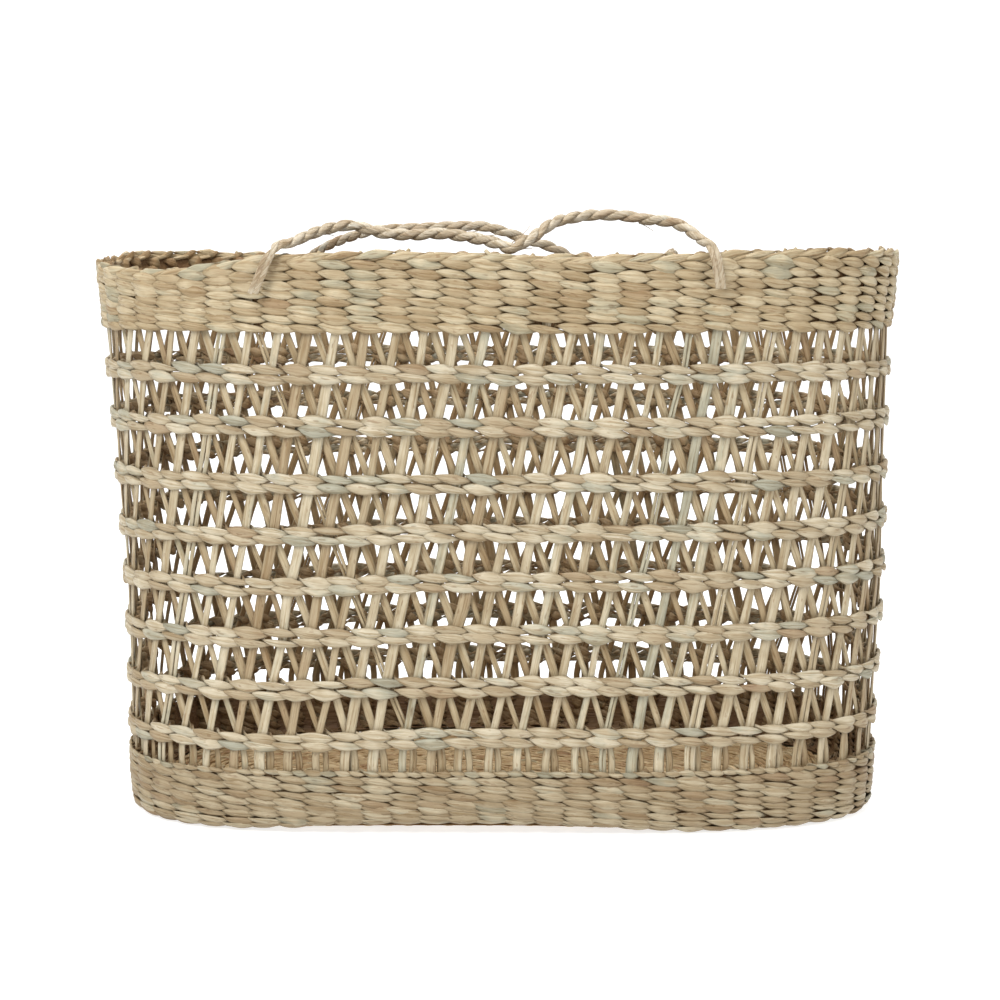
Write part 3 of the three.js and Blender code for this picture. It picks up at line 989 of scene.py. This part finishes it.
    def shade_layer(self, mesh: StrandMesh, outline: Sequence[tuple[float, float]], settle: Settle) -> None:
        """Adds a thin dark layer behind close rows, painted shade that shuts the slits between them.

        Args:
            mesh: where the layer goes.
            outline: insets and heights of its closed section.
            settle: how it gives way.
        """
        places = 2 * self.wall.stake_count
        along = np.arange(places) / places * self.wall.girth
        rings = []
        for inset, height in outline:
            points, _ = self.wall.at(along, np.full(places, height), inset)
            points[:, 2] += self.give(points, settle)
            rings.append(points)
        mesh.plate(np.array(rings), SHADE_LAYER_TONE)

    def weave(self, mesh: StrandMesh) -> None:
        """Adds the piece's strands to a mesh, in the way of its own kind of piece."""
        raise NotImplementedError

    def build(self, material: bpy.types.Material) -> bpy.types.Object:
        """Weaves the piece, gives it its material and puts it on the basket.

        Args:
            material: its finish.

        Returns:
            The piece.
        """
        mesh = StrandMesh()
        self.weave(mesh)
        piece = mesh.build(self.name)
        piece.data.materials.append(material)
        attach(piece, "root")
        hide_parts(*self.replaced)
        return piece


@dataclass
class OpenRow(WovenPiece):
    """A double row of twining across the open part of the wall."""

    index: int = 0
    half_spacing: float = 2.05
    middle_inset: float = 4.05
    lower_lag: float = 0.08
    style: RowStyle = RowStyle(half_height=2.6, reach=3.05)

    def weave(self, mesh: StrandMesh) -> None:
        """Weaves the two rows.

        Args:
            mesh: where the strands go.
        """
        height = self.wall.row_heights[self.index]
        for k, offset in enumerate((self.half_spacing, -self.half_spacing)):
            phase = OUTER_SHARE * (self.index + 1) - self.lower_lag * k
            self.twined_row(mesh, height + offset, self.middle_inset, phase, Settle.OPEN_ROW, self.style)


@dataclass
class RimBand(WovenPiece):
    """The dense band at the mouth, with its border and the stubs of cut ends."""

    row_heights: tuple[float, ...] = (237.7, 241.6, 245.3, 249.0, 252.7, 256.8, 261.1, 265.6)
    half_heights: tuple[float, ...] = (2.60, 2.55, 2.50, 2.50, 2.60, 2.80, 2.90, 2.80)
    row_inset: float = 3.9
    style: RowStyle = RowStyle(
        half_height=2.6, reach=2.85, swing=1.35, half_thick=1.05, tone=0.60, per_pitch=8
    )
    border_height: float = 269.3
    border_inset: float = 3.7
    border_phase: float = 0.22
    border_style: RowStyle = RowStyle(
        half_height=2.0, reach=2.1, swing=-1.3, half_thick=0.9, wobble=0.7, sides=7
    )
    shade_layer_insets: tuple[float, float] = (3.6, 4.2)
    shade_layer_below: float = 0.5
    shade_layer_above: float = 0.8
    core_height: float = 268.2
    core_inset: float = 3.8
    core_tone: float = 0.45
    stub_count: int = 36
    stub_run: float = 5.0
    stub_rises: tuple[float, float] = (0.3, 1.9)
    stub_insets: tuple[float, float] = (1.4, 4.4)
    stub_tones: tuple[float, float] = (0.3, 0.9)

    def weave(self, mesh: StrandMesh) -> None:
        """Weaves the band.

        Args:
            mesh: where the strands go.
        """
        for height, half_height in zip(self.row_heights, self.half_heights):
            style = replace(self.style, half_height=half_height)
            self.twined_row(mesh, height, self.row_inset, 0.0, Settle.RIM, style)
        self.twined_row(
            mesh, self.border_height, self.border_inset, self.border_phase, Settle.RIM, self.border_style
        )
        # A dark layer behind the rows paints shade into the slits between them.
        near, far = self.shade_layer_insets
        low, high = self.row_heights[0] - self.shade_layer_below, self.border_height - self.shade_layer_above
        self.shade_layer(mesh, [(near, low), (near, high), (far, high), (far, low)], Settle.RIM)
        self.border_core(mesh)
        self.stubs(mesh)

    def border_core(self, mesh: StrandMesh) -> None:
        """Adds the twisted strands that fill the top of the border.

        Args:
            mesh: where the strands go.
        """
        wall = self.wall
        out_swing, up_swing, half_width, half_thick = 1.1, 0.9, 1.5, 1.1
        per_pitch, sides = 6, 6
        where = np.arange(wall.stake_count * per_pitch) / per_pitch
        along = where * wall.pitch
        for strand in range(2):
            turn = math.pi * where + math.pi * strand
            base, away = wall.at(along, np.full_like(along, self.core_height), self.core_inset)
            centres = base + away * (out_swing * np.cos(turn))[:, None]
            centres[:, 2] += up_swing * np.sin(turn) + self.give(base, Settle.RIM)
            start = self.grain_start()
            mesh.strand(centres, away, half_width, half_thick, self.core_tone, start, sides, closed=True)

    def stubs(self, mesh: StrandMesh) -> None:
        """Adds cut ends of straw that stand a little proud of the border.

        Args:
            mesh: where the strands go.
        """
        wall = self.wall
        foot_width, top_width, half_thick, bow, sides, places = 1.3, 0.8, 0.45, 0.8, 6, 5
        steps = np.linspace(0.0, 1.0, places)
        width = foot_width - (foot_width - top_width) * steps
        for _ in range(self.stub_count):
            along = self.rng.uniform(0, wall.girth)
            lean = self.rng.uniform(-self.stub_run, self.stub_run)
            rise = self.rng.uniform(*self.stub_rises)
            z = wall.height - self.stub_run + (self.stub_run + rise) * steps - bow * steps**2
            inset = self.rng.uniform(*self.stub_insets)
            centres, away = wall.at(along + lean * steps**1.5, np.minimum(z, wall.height), inset)
            centres[:, 2] = z + self.give(centres, Settle.RIM)
            side = np.cross(away, (0.0, 0.0, 1.0))
            tone = self.rng.uniform(*self.stub_tones)
            mesh.strand(centres, side, width, half_thick, tone, self.grain_start(), sides)


@dataclass(frozen=True)
class BandPlace:
    """A place down the base band's outer face: the run to it, its inset, height and tilt in degrees."""

    run: float
    inset: float
    height: float
    tilt: float


@dataclass
class BaseBand(WovenPiece):
    """The dense band round the foot, which rounds under to the floor."""

    row_spacing: float = 3.55
    first_distance: float = 1.5
    rows: int = 11
    phase: float = OUTER_SHARE * PARTED + 0.18
    phase_step: float = 0.05
    depth: float = 2.7
    first_depth: float = 2.9
    style: RowStyle = RowStyle(
        half_height=2.4, reach=1.8, swing=1.45, overlap=0.6, half_thick=0.85,
        tone=0.52, wobble=0.34, per_pitch=8, sides=7,
    )
    first_style: RowStyle = RowStyle(
        half_height=1.45, reach=2.1, swing=0.7, overlap=0.3, half_thick=0.85,
        tone=0.66, wobble=0.34, per_pitch=6, sides=7, doubled=2,
    )
    shade_layer_depth: float = 2.6
    shade_layer_thick: float = 0.6
    shade_layer_top: float = 29.4
    profile: tuple[BandPlace, ...] = (
        BandPlace(0.0, 0.0, 31.4, 0.0),
        BandPlace(15.0, 0.0, 16.4, 0.0),
        BandPlace(21.0, 0.5, 10.4, 6.0),
        BandPlace(26.5, 1.2, 4.6, 24.0),
        BandPlace(31.0, 3.4, 1.0, 58.0),
        BandPlace(34.5, 6.6, 0.45, 84.0),
        BandPlace(38.0, 10.1, 0.3, 90.0),
        BandPlace(40.0, 12.1, 0.3, 90.0),
    )

    def weave(self, mesh: StrandMesh) -> None:
        """Weaves the band.

        Args:
            mesh: where the strands go.
        """
        runs, *columns = np.array([astuple(place) for place in self.profile]).T
        for k in range(self.rows):
            distance = self.first_distance + k * self.row_spacing
            inset, height, tilt = (float(np.interp(distance, runs, column)) for column in columns)
            lean = math.radians(tilt)
            depth = self.depth if k else self.first_depth
            self.twined_row(
                mesh,
                height + depth * math.sin(lean),
                inset + depth * math.cos(lean),
                self.phase + self.phase_step * (k % 2),
                Settle.BASE,
                self.style if k else self.first_style,
                tilt=tilt,
            )
        # A dark layer behind the rows paints shade into the slits between them.
        self.shade_layer(mesh, self.shade_layer_outline(), Settle.BASE)

    def shade_layer_outline(self) -> list[tuple[float, float]]:
        """Insets and heights of the dark layer of painted shade behind the rows, down its outside and back.

        Returns:
            The pairs, in order round the layer's section.
        """
        outside, inside = [], []
        for place in self.profile:
            lean = math.radians(place.tilt)
            inset = place.inset + self.shade_layer_depth * math.cos(lean)
            height = min(place.height, self.shade_layer_top) + self.shade_layer_depth * math.sin(lean)
            outside.append((inset, height))
            inset += self.shade_layer_thick * math.cos(lean)
            height += self.shade_layer_thick * math.sin(lean)
            inside.append((inset, height))
        return outside[::-1] + inside


@dataclass(frozen=True)
class Drift:
    """How a size changes slowly up a blade: its standard deviation and how many heights have their own."""

    spread: float
    places: int


@dataclass
class StakeFamily(WovenPiece):
    """One family of leaning blades of straw, held by the rows."""

    inset: float = 3.0
    half_width: float = 2.15
    half_thick: float = 0.6
    share: float = OUTER_SHARE
    low: float = 25.0
    high: float = 264.0
    stations: int = 44
    sides: int = 8
    foot_run: float = 8.0
    top_run: float = 3.0
    top_part: float = 0.10
    sway: Drift = Drift(0.45, 12)
    bulge: Drift = Drift(0.12, 18)
    swell: Drift = Drift(0.09, 9)
    widest: float = 1.18
    narrowest: float = 0.78
    mean_tone: float = 0.60
    tone_spread: float = 0.16
    tone_range: tuple[float, float] = (0.22, 0.95)
    split_share: float = 0.08
    half_parts: tuple[tuple[float, float], ...] = ((-0.52, 0.46), (0.52, 0.46))
    half_shift: float = 0.3

    def lean(self, z: np.ndarray) -> np.ndarray:
        """How many pitches the two families have parted by at each height.

        Args:
            z: heights.

        Returns:
            The pitches at each.
        """
        heights = self.wall.row_heights
        known = [(self.low - 1.0, PARTED), (heights[-1] - self.foot_run, PARTED)]
        known += [(height, index + 1.0) for index, height in reversed(list(enumerate(heights)))]
        known += [(self.wall.open_top + self.top_run, self.top_part), (self.wall.height, 0.0)]
        return np.interp(z, [k[0] for k in known], [k[1] for k in known])

    def drifting(self, z: np.ndarray, drift: Drift) -> np.ndarray:
        """A random value at each height, which changes slowly up a blade."""
        heights = np.linspace(self.low, self.high, drift.places)
        return np.interp(z, heights, self.rng.normal(0, drift.spread, drift.places))

    def weave(self, mesh: StrandMesh) -> None:
        """Lays the blades.

        Args:
            mesh: where the strands go.
        """
        wall = self.wall
        z = np.linspace(self.low, self.high, self.stations)
        for i in range(wall.stake_count):
            sway = self.drifting(z, self.sway)
            bulge = self.drifting(z, self.bulge)
            along = (i + 0.5 + self.share * self.lean(z)) * wall.pitch + sway
            broad = self.half_width * self.rng.uniform(self.narrowest, self.widest)
            width = broad * (1.0 + self.drifting(z, self.swell))
            tone = np.clip(self.rng.normal(self.mean_tone, self.tone_spread), *self.tone_range)
            split = self.rng.uniform() < self.split_share
            for offset, share in self.half_parts if split else ((0.0, 1.0),):
                inset = self.inset + bulge + offset * self.half_shift
                centres, away = wall.at(along + offset * width, z, inset)
                across = np.cross((0.0, 0.0, 1.0), away)
                # Blade faces turned into the basket get painted shade.
                mesh.strand(
                    centres, across, width * share, self.half_thick, tone, self.grain_start(), self.sides,
                    away=away,
                )


@dataclass
class WovenFloor(WovenPiece):
    """Rings of twining that fill the bottom, over a thin layer of straw."""

    first_shrink: float = 12.6
    ring_pitch: float = 4.0
    rings: int = 20
    float_length: float = 10.0
    per_float: int = 5
    sides: int = 5
    middle: float = 1.5
    floor_lift: float = 2.1
    out_swing: float = 1.0
    up_swing: float = 0.72
    least_width: float = 1.1
    float_width: float = 0.85
    roundness: float = 0.75
    unevenness: float = 0.2
    half_thick: float = 0.68
    tone: float = 0.45
    tone_spread: float = 0.2
    layer_tone: float = 0.3
    layer_heights: tuple[float, float] = (1.25, 1.75)
    layer_shrinks: tuple[float, ...] = (9.0, 30.0, 50.0, 70.0, 86.0, 92.2)
    layer_places: int = 144

    def weave(self, mesh: StrandMesh) -> None:
        """Weaves the floor.

        Args:
            mesh: where the strands go.
        """
        for k in range(self.rings):
            self.ring(mesh, self.first_shrink + k * self.ring_pitch, k)
        self.layer(mesh)

    def outline(self, shrink: float, places: int) -> tuple[np.ndarray, np.ndarray]:
        """Even points of a ring and the level directions that leave it.

        Args:
            shrink: how far the ring lies in from the wall's foot.
            places: number of points.

        Returns:
            The points and the directions.
        """
        angles = np.linspace(0.0, 2.0 * math.pi, 2881)
        foot = self.wall.levels[0]
        points, _ = self.wall.section(foot, angles, shrink)
        run = np.append(0.0, np.cumsum(np.linalg.norm(np.diff(points, axis=0), axis=1)))
        angle = np.interp(np.arange(places) / places * run[-1], run, angles)
        flat, leaving = self.wall.section(foot, angle, shrink)
        points = np.pad(flat, ((0, 0), (0, 1)), constant_values=self.middle)
        return points, np.pad(leaving, ((0, 0), (0, 1)))

    def rise(self, points: np.ndarray) -> np.ndarray:
        """How far the floor is raised at each point, with the foot's edge."""
        return self.floor_lift * self.wall.lift(points) / self.wall.edge_lift

    def ring(self, mesh: StrandMesh, shrink: float, index: int) -> None:
        """Adds one twined ring.

        Args:
            mesh: where the strands go.
            shrink: how far the ring lies in from the wall's foot.
            index: number of the ring, from the outer one.
        """
        foot = self.wall.levels[0]
        long_half = (foot.left + foot.right) * self.wall.rim_length / 4 - shrink
        wide_half = foot.width * self.wall.rim_width / 2 - shrink
        around = 4.0 * long_half + 3.0 * wide_half
        floats = 2 * max(4, round(around / self.float_length / 2))
        where = np.arange(floats * self.per_float) / self.per_float
        base, away = self.outline(shrink, floats * self.per_float)
        for strand in range(2):
            cycle = math.pi * (where + strand + 0.5 * (index % 2))
            uneven = held_values(self.rng, floats, self.unevenness, where)
            radial = uneven - self.out_swing * np.sin(cycle)
            centres = base + away * radial[:, None]
            centres[:, 2] += self.rise(base) - self.up_swing * np.cos(cycle)
            width = self.least_width + self.float_width * np.abs(np.cos(cycle)) ** self.roundness
            tones = np.clip(self.rng.normal(self.tone, self.tone_spread, floats), 0.0, 1.0)
            tones = tones[np.round(where).astype(int) % floats]
            mesh.strand(
                centres, away, width, self.half_thick, tones, self.grain_start(), self.sides, closed=True
            )

    def layer(self, mesh: StrandMesh) -> None:
        """Adds the thin layer that the rings lie on, which closes the slits between them, in full painted
        shade.

        Args:
            mesh: where the strands go.
        """
        rings = []
        below, above = self.layer_heights
        for height, order in ((below, self.layer_shrinks), (above, self.layer_shrinks[::-1])):
            for shrink in order:
                points, _ = self.outline(shrink, self.layer_places)
                points[:, 2] = height + self.rise(points)
                rings.append(points)
        mesh.plate(np.array(rings)[::-1], self.layer_tone)


# Stops of the handles, chosen along the ropes of the photograph. Each is a share of half the
# rim's length along the rim, a share of the lean in over the mouth, a share of the rise above the rim,
# and a share of the rope's radius.
FRONT_ROUTE = (
    (-0.545, -0.075, -1.00, 0.66), (-0.528, -0.082, -0.58, 0.68), (-0.508, -0.075, -0.10, 0.70),
    (-0.488, 0.030, 0.190, 0.72), (-0.465, 0.190, 0.250, 0.85), (-0.424, 0.460, 0.480, 1.00),
    (-0.384, 0.680, 0.640, 1.00), (-0.335, 0.840, 0.720, 1.00), (-0.268, 0.790, 0.530, 1.00),
    (-0.196, 0.720, 0.470, 1.00), (-0.126, 0.650, 0.500, 1.00), (-0.055, 0.520, 0.390, 1.00),
    (-0.002, 0.360, 0.260, 1.00), (0.034, 0.240, 0.120, 1.00), (0.058, 0.320, 0.240, 1.00),
    (0.085, 0.430, 0.390, 1.00), (0.110, 0.560, 0.620, 1.00), (0.140, 0.690, 0.800, 1.00),
    (0.177, 0.820, 0.910, 1.00), (0.226, 0.940, 0.985, 1.00), (0.286, 0.960, 0.985, 1.00),
    (0.349, 0.840, 0.880, 1.00), (0.405, 0.630, 0.790, 1.00), (0.437, 0.430, 0.620, 1.00),
    (0.466, 0.200, 0.320, 0.85), (0.482, 0.030, 0.190, 0.72), (0.492, -0.075, -0.10, 0.70),
    (0.499, -0.082, -0.50, 0.68), (0.505, -0.075, -0.88, 0.66),
)
BACK_ROUTE = (
    (-0.535, -0.075, -0.98, 0.62), (-0.525, -0.080, -0.58, 0.62), (-0.514, -0.075, -0.14, 0.62),
    (-0.506, -0.040, 0.120, 0.62), (-0.496, 0.050, 0.185, 0.64), (-0.482, 0.180, 0.230, 0.80),
    (-0.445, 0.400, 0.410, 1.00), (-0.399, 0.620, 0.580, 1.00), (-0.356, 0.800, 0.710, 1.00),
    (-0.306, 0.930, 0.810, 1.00), (-0.200, 1.060, 0.860, 1.00), (-0.090, 1.120, 0.910, 1.00),
    (-0.037, 1.120, 0.900, 1.00), (0.030, 1.080, 0.720, 1.00), (0.070, 1.040, 0.560, 1.00),
    (0.132, 0.970, 0.360, 1.00), (0.173, 0.890, 0.160, 1.00), (0.215, 0.800, -0.110, 1.00),
    (0.256, 0.710, -0.260, 1.00), (0.312, 0.560, -0.400, 1.00), (0.380, 0.380, -0.380, 1.00),
    (0.436, 0.250, -0.180, 0.90), (0.470, 0.190, 0.100, 0.66), (0.482, 0.070, 0.180, 0.62),
    (0.490, -0.030, 0.130, 0.62), (0.498, -0.075, -0.14, 0.62), (0.507, -0.080, -0.58, 0.62),
    (0.515, -0.075, -0.98, 0.62),
)


@dataclass(frozen=True)
class Course:
    """A size of a rope's strand, as a share of the rope's radius, where it is twisted and at its ends."""

    twisted: float
    ended: float

    def at(self, roped: np.ndarray) -> np.ndarray:
        """The size where the rope is twisted by this share."""
        return self.twisted * roped + self.ended * (1.0 - roped)


@dataclass
class RopeHandle(WovenPiece):
    """A two-strand rope whose split ends lie down the outside of the rim."""

    route: tuple[tuple[float, float, float, float], ...] = FRONT_ROUTE
    face: int = -1
    radius: float = 2.75
    rise: float = 18.0
    lean: float = 46.0
    lay: float = 18.5
    end_run: float = 21.0
    blend_run: float = 9.0
    step: float = 0.9
    tone: float = 0.36
    tone_step: float = 0.22
    tone_drift: float = 0.10
    drift_places: int = 30
    sides: int = 12
    lobes: float = 0.055
    lobe_turn: float = 0.22
    offset: Course = Course(0.42, 0.64)
    half_width: Course = Course(0.572, 0.676)
    half_thick: Course = Course(0.6996, 0.1696)
    whisker_count: int = 9

    def stops(self) -> tuple[np.ndarray, np.ndarray]:
        """The route's points and the rope's share of its radius at each.

        Returns:
            The points and the shares.
        """
        along, lean, rise, girth = np.array(self.route).T
        wall = self.wall
        exponent = wall.levels[-1].exponent
        reach = wall.rim_width / 2 * (1.0 - np.abs(along) ** exponent) ** (1.0 / exponent)
        drop = wall.back_drop if self.face > 0 else 0.0
        x = along * wall.rim_length / 2
        y = self.face * (reach - lean * self.lean)
        return np.stack([x, y, wall.height + rise * self.rise - drop], axis=-1), girth

    def smooth_route(self) -> tuple[np.ndarray, np.ndarray, np.ndarray]:
        """The curve through the stops.

        Returns:
            Even points, the rope's share of its radius there, and the length up to each.
        """
        points, shares = self.stops()
        padded = np.vstack([2 * points[0] - points[1], points, 2 * points[-1] - points[-2]])
        steps = np.linspace(0.0, 1.0, 24, endpoint=False)[:, None]
        curve, girth = [], []
        for i in range(len(points) - 1):
            p0, p1, p2, p3 = padded[i : i + 4]
            d0, d1, d2 = (math.sqrt(float(np.linalg.norm(b - a))) for a, b in ((p0, p1), (p1, p2), (p2, p3)))
            m1 = ((p1 - p0) / d0 - (p2 - p0) / (d0 + d1) + (p2 - p1) / d1) * d1
            m2 = ((p2 - p1) / d1 - (p3 - p1) / (d1 + d2) + (p3 - p2) / d2) * d1
            c2 = -3 * p1 + 3 * p2 - 2 * m1 - m2
            c3 = 2 * p1 - 2 * p2 + m1 + m2
            curve.append(p1 + m1 * steps + c2 * steps**2 + c3 * steps**3)
            girth.append(shares[i] + (shares[i + 1] - shares[i]) * steps[:, 0])
        curve.append(points[-1:])
        girth.append(shares[-1:])
        raw, raw_girth = np.vstack(curve), np.concatenate(girth)
        run = np.append(0.0, np.cumsum(np.linalg.norm(np.diff(raw, axis=0), axis=1)))
        even = np.linspace(0.0, run[-1], int(run[-1] / self.step))
        path = np.stack([np.interp(even, run, raw[:, c]) for c in range(3)], axis=-1)
        return path, np.interp(even, run, raw_girth), even

    @staticmethod
    def carried_frame(path: np.ndarray) -> tuple[np.ndarray, np.ndarray]:
        """Two directions square to the path, carried along it from its middle without turning.

        Args:
            path: points along the rope.

        Returns:
            The two directions at each.
        """
        ahead = unit(np.gradient(path, axis=0))
        first = np.zeros_like(path)
        middle = len(path) // 2
        first[middle] = unit(np.cross((0.0, 0.0, 1.0), ahead[middle]))
        for step, stop in ((1, len(path)), (-1, -1)):
            for i in range(middle + step, stop, step):
                held = first[i - step]
                first[i] = unit(held - ahead[i] * np.dot(held, ahead[i]))
        return first, np.cross(ahead, first)

    def weave(self, mesh: StrandMesh) -> None:
        """Lays the rope.

        Args:
            mesh: where the strands go.
        """
        path, girth, run = self.smooth_route()
        first, second = self.carried_frame(path)
        total = run[-1]
        from_end = np.minimum(run, total - run)
        roped = smooth_step(from_end, self.end_run - self.blend_run, self.end_run + self.blend_run)
        turn = -2.0 * math.pi * run / self.lay
        for strand in range(2):
            angle = turn + math.pi * strand
            spun = first * np.cos(angle)[:, None] + second * np.sin(angle)[:, None]
            flat = np.zeros_like(spun)
            flat[:, 0] = self.flat_sign(spun, run)
            toward = unit(spun * roped[:, None] + flat * (1.0 - roped)[:, None])
            offset = self.radius * girth * self.offset.at(roped)
            centres = path + toward * offset[:, None]
            wide = self.radius * girth * self.half_width.at(roped)
            thick = self.radius * self.half_thick.at(roped)
            places = np.linspace(0, total, self.drift_places)
            drift = np.interp(run, places, self.rng.normal(0.0, self.tone_drift, self.drift_places))
            tones = np.clip(self.tone + self.tone_step * strand + drift, 0.0, 1.0)
            mesh.strand(
                centres, toward, wide, thick, tones, self.grain_start(), self.sides,
                lobes=self.lobes, lobe_turn=self.lobe_turn,
            )
        self.whiskers(mesh, path, first, second)

    def flat_sign(self, spun: np.ndarray, run: np.ndarray) -> np.ndarray:
        """Which way along the wall a strand lies at each end, the way it comes out of the rope.

        Args:
            spun: way from the rope's middle to the strand.
            run: lengths along the rope.

        Returns:
            1 or -1 at each.
        """
        signs = []
        for end in (self.end_run, run[-1] - self.end_run):
            signs.append(1.0 if spun[np.argmin(np.abs(run - end)), 0] >= 0 else -1.0)
        return np.where(run < run[-1] / 2, *signs)

    def whiskers(self, mesh: StrandMesh, path: np.ndarray, first: np.ndarray, second: np.ndarray) -> None:
        """Adds loose fibres that stand off the rope.

        Args:
            mesh: where the strands go.
            path: points along the rope.
            first: a direction square to it at each.
            second: the other such direction.
        """
        end_gap, root, splay = 40, 2.4, 0.35
        half_width, narrowing, half_thick, tone = 0.24, 0.12, 0.16, 0.3
        for _ in range(self.whisker_count):
            i = int(self.rng.uniform(end_gap, len(path) - end_gap))
            angle = self.rng.uniform(0, 2 * math.pi)
            off = first[i] * math.cos(angle) + second[i] * math.sin(angle)
            steps = np.linspace(0.0, 1.0, 7)[:, None]
            length = self.rng.uniform(6.0, 13.0)
            ahead = unit(path[i + 1] - path[i - 1])
            centres = path[i] + off * (root + steps**1.5 * length * splay) + ahead * steps * length
            width = half_width - narrowing * steps[:, 0]
            mesh.strand(centres, second[i], width, half_thick, tone, self.grain_start(), 5)


@dataclass(frozen=True)
class Lamp:
    """A soft square light: where it hangs, its size and its power."""

    name: str
    place: Place
    size: float
    energy: float


@dataclass(frozen=True)
class Studio:
    """Camera, soft lights and a plain pale floor."""

    eye: Place = (0.002, -0.907, 0.267)
    pitch: float = 7.53
    lens: float = 64.8
    sensor: float = 36.0
    world: float = 0.50
    glow: float = 0.72
    floor_colour: Colour = (0.50, 0.50, 0.50)
    cloud_colour: Colour = (0.45, 0.45, 0.45)
    cloud_share: float = 0.05
    aim: Place = (0.0, 0.0, 0.12)
    lamps: tuple[Lamp, ...] = (
        Lamp("key", (-0.7, -1.2, 1.5), 0.9, 35.0),
        Lamp("fill", (1.3, -1.0, 0.9), 1.2, 10.0),
        Lamp("top", (0.0, 0.1, 1.5), 0.9, 16.0),
    )

    def camera(self) -> None:
        """Stands the camera where the photograph was taken from."""
        data = bpy.data.cameras.new("camera")
        data.lens = self.lens
        data.sensor_width = self.sensor
        camera = bpy.data.objects.new("camera", data)
        camera.location = self.eye
        camera.rotation_euler = Euler((math.radians(90.0 - self.pitch), 0.0, 0.0))
        bpy.context.scene.collection.objects.link(camera)
        bpy.context.scene.camera = camera

    def light(self, lamp: Lamp) -> None:
        """Hangs one soft light, aimed at the basket.

        Args:
            lamp: the light.
        """
        data = bpy.data.lights.new(lamp.name, "AREA")
        data.size = lamp.size
        data.energy = lamp.energy
        hung = bpy.data.objects.new(lamp.name, data)
        hung.location = lamp.place
        hung.rotation_euler = (Vector(self.aim) - Vector(lamp.place)).to_track_quat("-Z", "Y").to_euler()
        bpy.context.scene.collection.objects.link(hung)

    def backdrop(self) -> None:
        """Lays the floor, which curves up behind the basket into a wall."""
        half, front, back, radius, top, places = 4.0, -3.0, 1.2, 1.2, 3.2, 25
        turns = np.linspace(0.0, math.pi / 2, places)
        outline = [(front, 0.0)]
        outline += [(back + radius * math.sin(t), radius * (1.0 - math.cos(t))) for t in turns]
        outline.append((back + radius, top))
        corners = [(x, y, z) for y, z in outline for x in (-half, half)]
        faces = [(2 * i, 2 * i + 1, 2 * i + 3, 2 * i + 2) for i in range(len(outline) - 1)]
        mesh = bpy.data.meshes.new("backdrop")
        mesh.from_pydata(corners, [], faces)
        mesh.polygons.foreach_set("use_smooth", [True] * len(faces))
        ground = bpy.data.objects.new("backdrop", mesh)
        shader = Shader("backdrop")
        place = shader.node("ShaderNodeTexCoord", {}, {}).outputs["Object"]
        cloud = shader.noise(place, (2.0, 2.0, 2.0), 2.0)
        pale, clouded = (*self.floor_colour, 1.0), (*self.cloud_colour, 1.0)
        mixed = shader.mix(cloud * self.cloud_share, pale, clouded)
        shader.dress(Base_Color=mixed, Roughness=0.9, Emission_Color=WHITE, Emission_Strength=self.glow)
        mesh.materials.append(shader.material)
        bpy.context.scene.collection.objects.link(ground)

    def build(self) -> None:
        """Sets up the whole studio."""
        self.camera()
        scene = bpy.context.scene
        scene.view_settings.view_transform = "Standard"
        world = bpy.data.worlds.new("studio")
        world.use_nodes = True
        background = world.node_tree.nodes["Background"]
        background.inputs["Color"].default_value = WHITE
        background.inputs["Strength"].default_value = self.world
        scene.world = world
        for lamp in self.lamps:
            self.light(lamp)
        self.backdrop()


PALE = StrawFinish("straw_pale", "straw_blade", wash=(0.86, 0.88, 0.93))
INNER = StrawFinish("straw_inner", "straw_blade_inner", wash=(0.80, 0.78, 0.76))
TWINE = StrawFinish("straw_twine", "straw_twine", wash=(0.87, 0.90, 0.98))
BAND = StrawFinish("straw_band", "straw_band", wash=(0.83, 0.815, 0.80))
# The foot's band is the rim band's straw made darker: painted shade, as less light reaches the foot.
SHADED_FOOT = StrawFinish("straw_foot_shaded", "straw_band", wash=(0.705, 0.70, 0.705))
SHADED = StrawFinish("straw_shaded", "straw_shaded", wash=(1.12, 1.02, 0.90))
ROPE = StrawFinish("straw_rope", "straw_rope", wash=(0.93, 0.98, 1.16), streak=1.0, relief=0.36)


def panels(family: str) -> tuple[str, ...]:
    """Names of the panels that a family of stakes is made in."""
    return tuple(f"{family}_{number + 1}" for number in range(PANEL_COUNT))


def main() -> None:
    """Builds the studio and every piece in order, and reports each."""
    logging.basicConfig(level=logging.INFO, format="%(message)s")
    Studio().build()
    wall = BasketWall()
    rng = np.random.default_rng(SEED)
    made = {finish: finish.make() for finish in (PALE, INNER, TWINE, BAND, SHADED_FOOT, SHADED, ROPE)}
    pieces: list[WovenPiece] = [
        WovenFloor("floor_weave", ("base_floor",), SHADED, wall, rng),
        BaseBand("base_weave", ("base_band",), SHADED_FOOT, wall, rng),
        StakeFamily("outer_blades", panels("outer_stakes"), PALE, wall, rng),
        StakeFamily(
            "inner_blades", panels("inner_stakes"), INNER, wall, rng,
            inset=4.85, half_width=1.75, half_thick=0.55, share=INNER_SHARE,
        ),
    ]
    for index in range(len(wall.row_shares)):
        name, solids = f"open_row_{index + 1}", (f"twining_row_{index + 1}",)
        pieces.append(OpenRow(name, solids, TWINE, wall, rng, index=index))
    pieces.append(RimBand("rim_weave", ("rim_band",), BAND, wall, rng))
    for name, route, face in (("front", FRONT_ROUTE, -1), ("back", BACK_ROUTE, 1)):
        solids = (f"{name}_handle",)
        pieces.append(RopeHandle(f"{name}_rope", solids, ROPE, wall, rng, route=route, face=face))
    for part in pieces:
        piece = part.build(made[part.finish])
        LOG.info("built %s with %d vertices", piece.name, len(piece.data.vertices))


if __name__ == "__main__":
    main()
